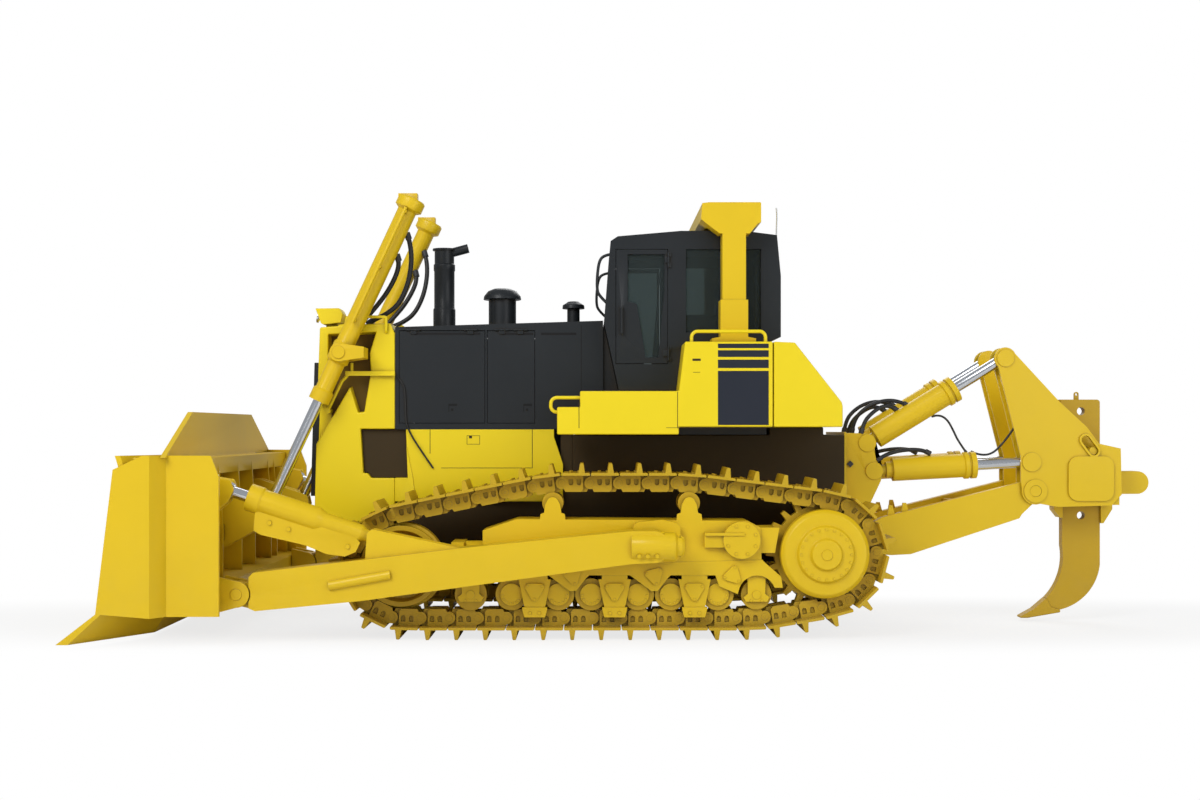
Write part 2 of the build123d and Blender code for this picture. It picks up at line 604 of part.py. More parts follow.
def track_frame():
    """Box frame with lobed cheeks, recoil tube, idler fork, roller brackets and trunnion."""
    top_front, top_rear = FRAME_TOP - 110, FRAME_TOP - 82
    body = slab([(FRAME_FRONT, FRAME_BOTTOM), (FRAME_FRONT, top_front), (FRAME_FRONT + 330, FRAME_TOP),
                 (FRAME_REAR - 139, FRAME_TOP - 15), (FRAME_REAR - 12, top_rear), (FRAME_REAR, FRAME_BOTTOM)],
                TRACK_Y - FRAME_HALF, TRACK_Y + FRAME_HALF)
    recoil = bar((FRAME_FRONT + 40, TRACK_Y, IDLER_Z + 90), (IDLER_X + 500, TRACK_Y, IDLER_Z + 90), RECOIL_RADIUS)
    head = block((IDLER_X + 500, IDLER_X + 620), (TRACK_Y - 225, TRACK_Y + 225),
                 (IDLER_Z - YOKE_HALF_HEIGHT, IDLER_Z + 240))
    fork_in = RAIL_INSIDE + RAIL_WIDTH + 12
    fork = slab([(IDLER_X - 100, IDLER_Z - 60), (IDLER_X - 60, IDLER_Z - YOKE_HALF_HEIGHT),
                 (IDLER_X + 560, IDLER_Z - YOKE_HALF_HEIGHT), (IDLER_X + 560, IDLER_Z + YOKE_HALF_HEIGHT),
                 (IDLER_X - 60, IDLER_Z + YOKE_HALF_HEIGHT), (IDLER_X - 100, IDLER_Z + 60)],
                TRACK_Y + fork_in, TRACK_Y + 225)
    axle = shaft((IDLER_X, IDLER_Z), IDLER_SHAFT - PIN_CLEARANCE, TRACK_Y - fork_in - 5, TRACK_Y + fork_in + 5)
    rear_block = slab([(FRAME_REAR - 70, top_rear), (FRAME_REAR + 172, top_rear), (FRAME_REAR + 128, FRAME_BOTTOM + 196),
                       (FRAME_REAR - 70, FRAME_BOTTOM + 196)], TRACK_Y + GUARD_INSIDE, TRACK_Y + GUARD_OUTSIDE)
    pieces = [body, recoil, head, axle, *mirrored_across_track(frame_cheek()), *mirrored_across_track(fork),
              *mirrored_across_track(rear_block), hanger(FRONT_ROLLER_X), hanger(REAR_ROLLER_X)]
    pieces += [carrier_stand(x) for x in CARRIER_X]
    for x in LOBE_X:
        pieces.append(three_cornered_cover((x - 2, LOBE_BOTTOM + 152), 128, 14, CHEEK_FACE - 5, CHEEK_FACE + COVER_PROUD))
    pieces.append(three_cornered_cover((LOBE_REAR[0], LOBE_REAR[1]), 128, 45, CHEEK_FACE - 5, CHEEK_FACE + COVER_PROUD))
    outer = TRACK_Y + FRAME_HALF
    pieces.append(shaft((PIVOT_X, PIVOT_Z), PIVOT_COVER_RADIUS, outer - 10, outer + 85))
    pieces.append(block((PIVOT_X - 358, PIVOT_X - 100), (outer - 10, outer + 62), (PIVOT_Z - 72, PIVOT_Z + 70)))
    pieces.append(block((PIVOT_X - 358, PIVOT_X + 28), (outer - 10, outer + 98), (PIVOT_Z + 44, PIVOT_Z + 70)))
    trunnion = (TRUNNION_X, TRUNNION_Z)
    base = rounded([(TRUNNION_X - 190, TRUNNION_Z - 190), (TRUNNION_X + 265, TRUNNION_Z - 160),
                    (TRUNNION_X + 265, TRUNNION_Z + 200), (TRUNNION_X + 100, TRUNNION_Z + 242),
                    (TRUNNION_X - 190, TRUNNION_Z + 215)], 70)
    pieces.append(slab(base, outer - 10, ARM_INSIDE - MOVING_GAP))
    pieces.append(shaft(trunnion, TRUNNION_RADIUS, outer - 10, ARM_OUTSIDE - 40))
    tie = shaft((PIVOT_X, PIVOT_Z), PIVOT_RADIUS, HULL_HALF, TRACK_Y - FRAME_HALF + 10)
    pad = block((EQUALIZER_X - 130, EQUALIZER_X + 130), (860, TRACK_Y - FRAME_HALF + 10),
                (EQUALIZER_Z - 130, EQUALIZER_Z + 90))
    return joined(*pieces, tie, pad)


# ---- Hull, hood and tanks -------------------------------------------------------------
def main_frame():
    """Welded hull between the tracks, with the equaliser bar through its front."""
    outline = [(-3000, NOSE_BOTTOM), (-2700, 780), (-2400, HULL_BOTTOM), (HULL_REAR - 130, HULL_BOTTOM),
               (HULL_REAR, HULL_BOTTOM + 130), (HULL_REAR, HULL_DECK), (HULL_STEP, HULL_DECK), (HULL_STEP, HULL_TOP),
               (NOSE_REAR, HULL_TOP), (NOSE_REAR, NOSE_BOTTOM)]
    hull = slab(outline, -HULL_HALF, HULL_HALF)
    tank_seat = block((TANK_SEAM + 60, TANK_REAR - 60), (-HULL_HALF, HULL_HALF), (HULL_DECK - 5, TANK_BOTTOM))
    bar_half = 90
    equalizer = block((EQUALIZER_X - bar_half, EQUALIZER_X + bar_half), (-860, 860),
                      (EQUALIZER_Z - bar_half, EQUALIZER_Z + bar_half))
    return joined(hull, tank_seat, equalizer)


SIDE_POCKET = [(-2861, 2040), (-2400, 2040), (-2380, 1540), (-2755, 1540), (-2790, 1590), (-2833, 1590)]


def radiator_guard():
    """The nose: open bays in its sides behind a slanted plate, and a flange at its top rear corner."""
    outline = [(NOSE_FRONT, NOSE_BOTTOM), (NOSE_FRONT + 45, GRILLE_Z[1]), (NOSE_FRONT + 58, 3078), (-2864, 3110),
               (-2558, 3120), (NOSE_REAR, 3019), (NOSE_REAR, NOSE_BOTTOM)]
    nose = slab(outline, -NOSE_HALF, NOSE_HALF)
    bay = [(-3190, 3005), (-2703, 3030), (-2771, 2813), (-2757, 2622), (-2825, 2214), (-2887, 2207), (-2969, 2472),
           (-3330, 1860), (NOSE_FRONT - 10, 1860), (NOSE_FRONT - 10, 2300), (-3190, 2300)]
    for side in (-1, 1):
        span = sorted((side * (NOSE_HALF - NOSE_HOLLOW), side * (NOSE_HALF + 5)))
        nose = nose.cut(slab(bay, *span), slab(SIDE_POCKET, *span))
    return nose


def front_grille():
    """Slatted panel that stands out ahead of the nose."""
    low, high = GRILLE_Z
    lean = 45 * (high - low) / (high - NOSE_BOTTOM)
    bottom_x = NOSE_FRONT + 45 - lean - SEAT_GAP
    outline = [(bottom_x - GRILLE_PROUD, low), (NOSE_FRONT + 45 - SEAT_GAP - GRILLE_PROUD, high), (NOSE_FRONT + 45 - SEAT_GAP, high),
               (bottom_x, low)]
    frame = slab(outline, -GRILLE_HALF, GRILLE_HALF)
    slots = []
    place = low + 60
    while place + GRILLE_GAP < high - 40:
        front_x = bottom_x - GRILLE_PROUD + lean * (place - low) / (high - low)
        slots.append(block((front_x - 10, front_x + 45), (40 - GRILLE_HALF, GRILLE_HALF - 40), (place, place + GRILLE_GAP)))
        place += GRILLE_BAR_PITCH
    return frame.cut(*slots)


def lift_yokes():
    """Forks on the sides of the nose: round bearing plates on both sides of a barrel and a block behind it."""
    x, z = LIFT_YOKE
    near, far = NOSE_HALF + SEAT_GAP, LIFT_Y + LIFT_COLLAR + MOVING_GAP
    back = (x + 205, x + 252)
    arm = [(x, z + YOKE_BOSS), (back[1], z + 55), (back[1], z - 55), (x, z - YOKE_BOSS)]
    pieces = [block(back, (near, far + YOKE_ARM), (z - 55, z + 55))]
    for low in (near, far):
        pieces += [shaft(LIFT_YOKE, YOKE_BOSS, low, low + YOKE_ARM), slab(arm, low, low + YOKE_ARM)]
    pieces.append(shaft(LIFT_YOKE, YOKE_BOSS - 30, far + YOKE_ARM - 5, far + YOKE_ARM + 14))
    return joined(*pieces).cut(shaft(LIFT_YOKE, LIFT_TRUNNION + PIN_CLEARANCE, NOSE_HALF, far + YOKE_ARM - 6))


FRONT_DOOR = (NOSE_REAR + HOOD_SHEET, DOOR_SEAMS[0] - DOOR_GAP)
REAR_DOOR = (DOOR_SEAMS[0] + DOOR_GAP, DOOR_SEAMS[1] - DOOR_GAP)
HOOD_HINGE_Y = HOOD_HALF + HOOD_HINGE_OUT
HOOD_HINGE_Z = DOOR_TOP + HOOD_HINGE_UP


def hinge_places(x_span):
    """The two places along a door's top edge that carry its hinges."""
    return [x_span[0] + HOOD_HINGE_INSET, x_span[1] - HOOD_HINGE_INSET]


def hood():
    """Top panel, bulkheads, door posts and fixed rear side panels round the engine."""
    door_top = DOOR_TOP + 8
    top = slab([(NOSE_REAR, door_top), (NOSE_REAR, HOOD_TOP_FRONT), (HOOD_REAR, HOOD_TOP_REAR), (HOOD_REAR, door_top)],
               -HOOD_HALF, HOOD_HALF)
    pieces = [top]
    for x, bottom in ((NOSE_REAR, HULL_TOP), (HOOD_REAR - HOOD_SHEET, HULL_DECK)):
        pieces.append(block((x, x + HOOD_SHEET), (-HOOD_HALF, HOOD_HALF), (HOOD_BOTTOM - SILL, door_top + 5)))
        pieces.append(block((x, x + HOOD_SHEET), (5 - HULL_HALF, HULL_HALF - 5), (bottom, HOOD_BOTTOM - SILL)))
    for side in (-1, 1):
        inner, outer = sorted((side * (HOOD_HALF - HOOD_SHEET), side * HOOD_HALF))
        pieces.append(block((DOOR_SEAMS[0] - DOOR_GAP, DOOR_SEAMS[0] + DOOR_GAP), (inner, outer), (HOOD_BOTTOM, door_top + 5)))
        pieces.append(block((DOOR_SEAMS[1] - DOOR_GAP, HOOD_REAR), (inner, outer), (HOOD_BOTTOM, door_top + 5)))
        pieces.append(block((NOSE_REAR, HOOD_REAR), (inner, outer), (HOOD_BOTTOM - SILL, HOOD_BOTTOM)))
    return joined(*pieces, *hood_hinges())


def hood_hinges():
    """The fixed halves of the engine doors' hinges, along both sides of the hood."""
    pieces = []
    for x in hinge_places(FRONT_DOOR) + hinge_places(REAR_DOOR):
        pieces.append(fixed_knuckles((x, HOOD_HINGE_Y, HOOD_HINGE_Z), (1, 0, 0), HOOD_KNUCKLE))
        for low in (x - HINGE_HALF - HINGE_GAP - HINGE_END, x + HINGE_HALF + HINGE_GAP):
            pieces.append(block((low, low + HINGE_END), (HOOD_HALF - 2, HOOD_HINGE_Y),
                                (HOOD_HINGE_Z, HOOD_HINGE_Z + HOOD_KNUCKLE)))
    return pieces + [left_of(piece) for piece in pieces]


def engine_door(x_span):
    """Gull-wing side door that hangs from the hood's top edge."""
    low = HOOD_BOTTOM + DOOR_GAP / 2
    door = block((x_span[0] + DOOR_GAP / 2, x_span[1] - DOOR_GAP / 2), (HOOD_HALF - DOOR_THICK, HOOD_HALF),
                 (low, DOOR_TOP))
    leaves = []
    for x in hinge_places(x_span):
        sleeve = (x - HINGE_HALF, x + HINGE_HALF)
        leaves.append(block(sleeve, (HOOD_HALF - 2, HOOD_HINGE_Y), (DOOR_TOP - 30, DOOR_TOP)))
        leaves.append(block(sleeve, (HOOD_HINGE_Y - HOOD_KNUCKLE, HOOD_HINGE_Y), (DOOR_TOP - 10, HOOD_HINGE_Z)))
    bores = []
    for x in hinge_places(x_span):
        middle = (x, HOOD_HINGE_Y, HOOD_HINGE_Z)
        leaves.append(stretch(middle, (1, 0, 0), -HINGE_HALF, HINGE_HALF, HOOD_KNUCKLE))
        bores.append(stretch(middle, (1, 0, 0), -HINGE_HALF, HINGE_HALF, HOOD_KNUCKLE / 2 + PIN_CLEARANCE))
    return joined(door, *leaves).cut(*bores)


def lower_side_covers():
    """Painted panels below the hood on both sides."""
    front, top = NOSE_REAR + SEAT_GAP, HOOD_BOTTOM - SILL
    outline = [(front, top), (-887, top), (-887, 1960), (-795, 1680), (-795, 1300), (front, 1300)]
    skirt = slab([(front, top), (-2426, top), (-2325, 1530), (-2300, 1300), (front, 1300)], HULL_HALF, NOSE_HALF)
    pocket = slab(SIDE_POCKET, HULL_HALF + 10, NOSE_HALF + 10)
    return both_sides(joined(slab(outline, HULL_HALF, HOOD_HALF), skirt).cut(pocket))


def exhaust_stack():
    """Muffler body, cap and the angled outlet pipe."""
    x, top = -2074.0, 3961.0
    base = HOOD_TOP_FRONT
    body = turned([(0, base), (118, base), (118, base + 230), (108, base + 250), (108, 3720), (114, 3730), (114, 3790), (104, 3800),
                   (104, top - 20), (124, top - 20), (124, top), (0, top)], (x, 0, 0), (0, 0, 1))
    outlet = bar((x + 40, 0, top - 52), (x + 255, 0, top + 6), 48)
    return joined(body, outlet)


def stack_with_cap(x, base, stem, cap, cap_from, top):
    """A round intake stem under a domed cap."""
    return turned([(0, base), (stem, base), (stem, cap_from), (cap, cap_from), (cap * 0.96, cap_from + 40),
                   (cap * 0.75, top - 25), (cap * 0.45, top), (0, top)], (x, 0, 0), (0, 0, 1))


def fender():
    """Side box, step and slant-fronted tank on one side, with the striped panel's recess."""
    outline = [(FENDER_FRONT, FENDER_BOTTOM), (FENDER_FRONT, 2253), (-616, 2253), (-616, 2408), (344, 2408),
               (403, TANK_TOP), (TANK_SEAM - 4, TANK_TOP), (TANK_SEAM - 4, TANK_BOTTOM), (344, TANK_BOTTOM), (344, FENDER_BOTTOM)]
    return slab(outline, FENDER_INSIDE, FENDER_OUTSIDE)


def rear_tank():
    """Fuel tank across the back, sloped behind."""
    outline = [(TANK_SEAM + 4, TANK_BOTTOM), (TANK_SEAM + 4, TANK_TOP), (1469, TANK_TOP - 8), (1924, 2301),
               (TANK_REAR, 2260), (TANK_REAR, TANK_BOTTOM)]
    return slab(outline, -FENDER_OUTSIDE, FENDER_OUTSIDE)


def cab_platform():
    """Floor block on the hull that carries the cab and both fenders."""
    return block((HOOD_REAR + 4, TANK_SEAM - 4), (-FENDER_INSIDE, FENDER_INSIDE), (HULL_DECK, CAB_BOTTOM))


# ---- Cab and roll-over frame ---------------------------------------------------------------
CAB_OUTLINE = [(-228, CAB_BOTTOM), (-378, 3120), (-360, 3297), (-312, 3930), (-240, 3978), (400, 4033), (1049, 4030),
               (1361, 3990), (1400, 3578), (1400, 2965), (TANK_SEAM - 10, 2905), (TANK_SEAM - 10, CAB_BOTTOM)]


CAB_HINGE_X = CAB_DOOR_X[1] + CAB_HINGE_BACK
CAB_HINGE_Y = CAB_HALF + CAB_HINGE_OUT


def cab_hinges():
    """The fixed halves of the cab doors' hinges."""
    pieces = []
    for z in CAB_HINGE_Z:
        pieces.append(fixed_knuckles((CAB_HINGE_X, CAB_HINGE_Y, z), (0, 0, 1), CAB_KNUCKLE))
        for low in (z - HINGE_HALF - HINGE_GAP - HINGE_END, z + HINGE_HALF + HINGE_GAP):
            pieces.append(block((CAB_HINGE_X, CAB_HINGE_X + 2 * CAB_KNUCKLE), (CAB_HALF - 2, CAB_HINGE_Y + 5),
                                (low, low + HINGE_END)))
    return pieces + [left_of(piece) for piece in pieces]


def cab_shell():
    """Hollow cab with door openings and cut windows."""
    shell = slab(CAB_OUTLINE, -CAB_HALF, CAB_HALF)
    inner = [(-158, CAB_BOTTOM + CAB_WALL), (-314, 3120), (-252, 3910), (400, 3973), (1049, 3970), (1306, 3935), (1340, 3578),
             (1340, 3025), (1190, 2965), (1190, CAB_BOTTOM + CAB_WALL)]
    shell = shell.cut(slab(inner, CAB_WALL - CAB_HALF, CAB_HALF - CAB_WALL))
    through = (-CAB_HALF - 50, CAB_HALF + 50)
    front_half, rear_half = CAB_HALF - FRONT_WINDOW_MARGIN, CAB_HALF - REAR_WINDOW_MARGIN
    holes = [block(CAB_DOOR_X, through, CAB_DOOR_Z), block(SIDE_WINDOW_X, through, SIDE_WINDOW_Z),
             block((-500, -200), (-front_half, front_half), FRONT_WINDOW_Z),
             block((1300, 1500), (-rear_half, rear_half), REAR_WINDOW_Z)]
    return joined(shell.cut(*holes), *cab_hinges())


def pane(corners_low, corners_high, z_span, half):
    """A pane across the cab, from the X span of its lower edge to that of its upper edge."""
    low, high = z_span[0] + SEAT_GAP, z_span[1] - SEAT_GAP
    outline = [(corners_low[0], low), (corners_low[1], low), (corners_high[1], high), (corners_high[0], high)]
    return slab(outline, SEAT_GAP - half, half - SEAT_GAP)


def cab_glass():
    """Panes set into the fixed windows."""
    face = CAB_HALF - GLASS_INSET
    side = block((SIDE_WINDOW_X[0] + SEAT_GAP, SIDE_WINDOW_X[1] - SEAT_GAP), (face - GLASS, face),
                 (SIDE_WINDOW_Z[0] + SEAT_GAP, SIDE_WINDOW_Z[1] - SEAT_GAP))
    front = pane((-345, GLASS - 345), (-290, GLASS - 290), FRONT_WINDOW_Z, CAB_HALF - FRONT_WINDOW_MARGIN)
    rear = pane((1360, 1360 + GLASS), (1348, 1348 + GLASS), REAR_WINDOW_Z, CAB_HALF - REAR_WINDOW_MARGIN)
    return Compound(children=[side, left_of(side), front, rear])


DOOR_WINDOW = [(-140, 3797), (230, 3797), (230, 3450), (170, 2760), (40, 2760), (-50, 3300), (-140, 3320)]


def cab_door():
    """Side door that swings on its rear edge."""
    gap = MOVING_GAP
    panel = block((CAB_DOOR_X[0] + gap, CAB_DOOR_X[1] - gap), (CAB_HALF - DOOR_THICKNESS, CAB_HALF),
                  (CAB_DOOR_Z[0] + gap, CAB_DOOR_Z[1] - gap))
    pieces, bores = [], []
    for z in CAB_HINGE_Z:
        middle, sleeve = (CAB_HINGE_X, CAB_HINGE_Y, z), (z - HINGE_HALF, z + HINGE_HALF)
        pieces.append(block((CAB_HINGE_X - 55, CAB_DOOR_X[1] - gap), (CAB_HALF - 2, CAB_HINGE_Y + 2), sleeve))
        pieces.append(block((CAB_DOOR_X[1] - 15, CAB_HINGE_X), (CAB_HINGE_Y - 10, CAB_HINGE_Y + 2), sleeve))
        pieces.append(stretch(middle, (0, 0, 1), -HINGE_HALF, HINGE_HALF, CAB_KNUCKLE))
        bores.append(stretch(middle, (0, 0, 1), -HINGE_HALF, HINGE_HALF, CAB_KNUCKLE / 2 + PIN_CLEARANCE))
    grab = bar((CAB_DOOR_X[0] + 60, CAB_HALF + 45, 3000), (CAB_DOOR_X[0] + 60, CAB_HALF + 45, 3260), 14)
    for z in (3000, 3260):
        grab = grab.fuse(bar((CAB_DOOR_X[0] + 60, CAB_HALF - 5, z), (CAB_DOOR_X[0] + 60, CAB_HALF + 45, z), 14))
    return joined(panel, grab, *pieces).cut(slab(DOOR_WINDOW, CAB_HALF - 100, CAB_HALF + 50), *bores)


def cab_door_glass():
    """The door's pane."""
    return slab(DOOR_WINDOW, CAB_HALF - GLASS_INSET - GLASS, CAB_HALF - GLASS_INSET)


def operator_seat():
    """Seat and console on the cab floor."""
    floor = CAB_BOTTOM + CAB_WALL
    seat = slab([(350, floor), (350, 2900), (310, 2960), (310, 3080), (780, 3060), (860, 3740), (990, 3740), (930, 3000), (850, floor)],
                -270, 270)
    arm_rests = [block((420, 800), sorted((side * 300, side * 420)), (floor, 3230)) for side in (-1, 1)]
    console = slab([(-150, floor), (-170, 3080), (-60, 3130), (20, 3060), (60, floor)], -450, 450)
    return Compound(children=[seat, console, *arm_rests])


def rops():
    """Roll-over frame: two posts with flared feet and a box beam over the cab."""
    foot, knee = TANK_TOP, 4086
    beam = slab([(576, 4110), (590, ROPS_TOP - 8), (660, ROPS_TOP), (1160, ROPS_TOP), (1170, ROPS_TOP - 8), (1170, 4080),
                 (1120, 4060), (640, 4060)], -ROPS_HALF, ROPS_HALF)
    inner, outer = ROPS_HALF - ROPS_POST_WIDTH, ROPS_HALF
    post = block(ROPS_POST, (inner, outer), (foot + SEAT_GAP, knee))
    base = slab([(684, foot), (684, foot + 45), (ROPS_POST[0] - 20, foot + 60), (ROPS_POST[0] - 20, 3315), (ROPS_POST[1] + 20, 3315),
                 (ROPS_POST[1] + 20, foot + 60), (1118, foot + 45), (1118, foot)], inner - 15, outer + 15)
    knee_plate = slab([(576, 4110), (1170, 4110), (1060, 3970), (760, 3970)], inner, outer)
    pieces = [beam]
    for piece in (post, base, knee_plate):
        pieces += [piece, left_of(piece)]
    return joined(*pieces)


RAIL_TUBE = 17.0
NOSE_RAIL_Y = NOSE_HALF + 28


def tube(points, bend, radius):
    """A bent tube along a route of straight runs with one bend radius."""
    path = FilletPolyline(*points, radius=bend)
    return sweep(Plane(origin=path.position_at(0), z_dir=path.tangent_at(0)) * Circle(radius), path=path)


def handrails(nose):
    """Bent tubes on the fenders and over the nose's side bays, with the flat bar across them."""
    y = FENDER_OUTSIDE - 60
    rails = [tube([(470, y, TANK_TOP), (470, y, TANK_TOP + 102), (1190, y, TANK_TOP + 102), (1190, y, TANK_TOP)], 60, RAIL_TUBE),
             tube([(-616, y, 2345), (-900, y, 2345), (-900, y, 2205), (FENDER_FRONT, y, 2205)], 60, RAIL_TUBE),
             tube([(-2945, NOSE_HALF - 5, 2912), (-2945, NOSE_RAIL_Y, 2912), (-2945, NOSE_RAIL_Y, 3183),
                   (-2596, NOSE_RAIL_Y, 3183), (-2596, NOSE_RAIL_Y, 3030), (-2596, NOSE_HALF - 5, 3030)], 24, RAIL_TUBE - 2)]
    bar_z = (2582, 2628)
    bar_span = block((-3009, -2506), (NOSE_HALF + 12, NOSE_HALF + 56), bar_z)
    feet = [block((x, x + 50), (NOSE_HALF, NOSE_HALF + 20), bar_z) for x in (-2560, -2740)]
    post = bar((-2945, NOSE_RAIL_Y, bar_z[0] + 10), (-2945, NOSE_RAIL_Y, 2712), RAIL_TUBE - 2)
    slanted = tube([(-2985, NOSE_RAIL_Y, 2590), (-3045, NOSE_RAIL_Y, 2530), (-3193, NOSE_RAIL_Y, 2225)], 40, RAIL_TUBE)
    stay = bar((-3193, NOSE_HALF - NOSE_HOLLOW, 2225), (-3193, NOSE_RAIL_Y + 20, 2225), 30)
    rails.append(joined(bar_span, *feet, post, slanted, stay))
    return both_sides(*[rail.cut(nose) for rail in rails])


def head_lamps(nose):
    """Lamp boxes on stands over the nose's front corners."""
    box = slab([(-3333, 3276), (-3090, 3279), (-3073, 3260), (-3052, 3218), (-3073, 3129), (-3250, 3110), (-3275, 3122)], 420, 660)
    foot = block((-3235, -3120), (500, 580), (3040, 3118)).cut(nose)
    return both_sides(joined(box, foot))


# ---- Push arms and blade --------------------------------------------------------------------
def push_arm():
    """Box arm from the trunnion on the track frame to the blade's ears."""
    outline = [(-3740, 640), (-3700, 682), (-1706, 917), (-133, 1075), (TRUNNION_X, TRUNNION_Z + ARM_EYE_RADIUS),
               (TRUNNION_X + ARM_EYE_RADIUS, TRUNNION_Z, TRUNNION_X, TRUNNION_Z - ARM_EYE_RADIUS), (-133, 763),
               (-2316, 465), (-2696, 414), (-3680, 320), (-3740, 345)]
    arm = slab(outline, ARM_INSIDE, ARM_OUTSIDE)
    boss_in, boss_out = ARM_INSIDE + EAR_THICKNESS + MOVING_GAP, ARM_OUTSIDE - EAR_THICKNESS - MOVING_GAP
    boss = joined(shaft((BLADE_PIN_X, BLADE_PIN_Z), EAR_RADIUS - 10, boss_in, boss_out),
                  slab([(-3700, 580), (BLADE_PIN_X, BLADE_PIN_Z + 110), (BLADE_PIN_X, BLADE_PIN_Z - 110), (-3700, 330)], boss_in, boss_out))
    arm = arm.fuse(boss)
    for low, high in ((ARM_INSIDE - 5, boss_in), (boss_out, ARM_OUTSIDE + 5)):
        arm = arm.cut(shaft((BLADE_PIN_X, BLADE_PIN_Z), EAR_RADIUS + 12, low, high))
    gusset = [(-2650, 780), (-2631, 1050), (-2584, 1090), (-1725, 905), (-1725, 880)]
    for y in (TILT_Y - EYE_HALF - MOVING_GAP - LUG, TILT_Y + EYE_HALF + MOVING_GAP):
        arm = arm.fuse(slab(gusset, y, y + LUG))
    pin = shaft(TILT_BASE, EYE_PIN, TILT_Y - EYE_HALF - MOVING_GAP - 5, TILT_Y + EYE_HALF + MOVING_GAP + 5)
    bores = [shaft((TRUNNION_X, TRUNNION_Z), TRUNNION_RADIUS + PIN_CLEARANCE, ARM_INSIDE - 5, ARM_OUTSIDE - 30),
             shaft((BLADE_PIN_X, BLADE_PIN_Z), BLADE_PIN_RADIUS + PIN_CLEARANCE, boss_in - 5, boss_out + 5)]
    wear_bar = bar((-2980, ARM_OUTSIDE, 560), (-2400, ARM_OUTSIDE, 665), 45)
    cap = turned([(0, -214), (CAP_RADIUS, -214), (CAP_RADIUS, 200), (CAP_RADIUS - 35, 225), (CAP_RADIUS - 35, 262),
                  (CAP_RADIUS - 60, 290), (0, 290)],
                 (TRUNNION_X, ARM_OUTSIDE - CAP_RADIUS + CAP_PROUD, TRUNNION_Z), (1, 0, 0))
    return arm.fuse(pin, wear_bar, cap).cut(*bores)


def blade_profile(shift, y):
    """The curved face plate's section, moved forward for the wings."""
    (low_x, low_z), (middle_x, middle_z), (top_x, top_z) = FACE_BOTTOM, FACE_MIDDLE, FACE_TOP
    back = FACE_THICKNESS
    return side_face([(low_x - shift, low_z), (middle_x - shift, middle_z, top_x - shift, top_z),
                      (top_x - shift + back, top_z), (middle_x - shift + back, middle_z, low_x - shift + back, low_z)], y)


def ahead_of_face():
    """The space in front of the blade's face, which nothing behind it may reach."""
    def section(shift, y):
        (low_x, low_z), (middle_x, middle_z), (top_x, top_z) = FACE_BOTTOM, FACE_MIDDLE, FACE_TOP
        inset = FACE_THICKNESS / 2 - shift
        return side_face([(low_x + inset, low_z), (middle_x + inset, middle_z, top_x + inset, top_z),
                          (top_x + inset, GUARD_TOP + 100), (-7000, GUARD_TOP + 100), (-7000, 0), (low_x + inset, 0)], y)
    centre = Solid.extrude(section(0, -WING_FROM), Vector(0, 2 * WING_FROM, 0))
    wing = Solid.extrude(section(0, WING_FROM), Vector(-WING_FORWARD, BLADE_HALF - WING_FROM, 0))
    return joined(centre, wing, left_of(wing))


def moldboard():
    """Curved face with slanted wings, spill guard, end walls and the box beams behind."""
    centre = Solid.extrude(blade_profile(0, -WING_FROM), Vector(0, 2 * WING_FROM, 0))
    wing_run = BLADE_HALF - WING_FROM - WALL / 2
    wing = Solid.extrude(blade_profile(0, WING_FROM - 1), Vector(-WING_FORWARD, wing_run, 0))
    guard_face = Face(Wire.make_polygon([Vector(FACE_TOP[0], y, z) for y, z in (
        (-BLADE_HALF + 60, FACE_TOP[1] - 20), (-GUARD_FLAT, GUARD_TOP), (GUARD_FLAT, GUARD_TOP),
        (BLADE_HALF - 60, FACE_TOP[1] - 20))], close=True))
    guard = Solid.extrude(guard_face, Vector(FACE_THICKNESS, 0, 0))
    wall_plan = [(-5100, BLADE_HALF), (-4549, BLADE_HALF), (-4436, BLADE_HALF - 150), (BLADE_REAR, BLADE_HALF - 150),
                 (BLADE_REAR, BLADE_HALF - 150 - WALL), (-4452, BLADE_HALF - 150 - WALL), (-4565, BLADE_HALF - WALL),
                 (-5100, BLADE_HALF - WALL)]
    wall = upright(wall_plan, 0, GUARD_TOP)
    wall_side = [(-5043, 343), (-4883, 1667), (-4613, 1794), (-4023, 1792), (BLADE_REAR, 1600), (BLADE_REAR, BLADE_BOTTOM),
                 (-4540, BLADE_BOTTOM)]
    wall = wall.intersect(slab(wall_side, 0, BLADE_HALF + 10))
    wall = wall.solids()[0] if not isinstance(wall, Solid) else wall
    inside = BLADE_HALF - 150 - WALL / 2
    far = -5100
    beams = [slab([(far, BLADE_BOTTOM + 45), (-4020, BLADE_BOTTOM + 5), (-4020, 560), (far, 640)], -inside, inside),
             slab([(far, 880), (-4190, 930), (-4190, 1080), (far, 1130)], -inside, inside),
             slab([(far, 1540), (-4200, 1600), (-4200, 1760), (far, 1780)], -inside, inside)]
    rib = [(far, 560), (-4160, 560), (-4160, 1080), (-4200, 1700), (far, 1700)]
    ribs = []
    for y in RIB_Y:
        ribs += [slab(rib, y - RIB / 2, y + RIB / 2), slab(rib, -y - RIB / 2, RIB / 2 - y)]
    behind = joined(*beams, *ribs).cut(ahead_of_face())
    pieces = [centre, guard, behind]
    for piece in (wing, wall):
        pieces += [piece, left_of(piece)]
    return joined(*pieces)


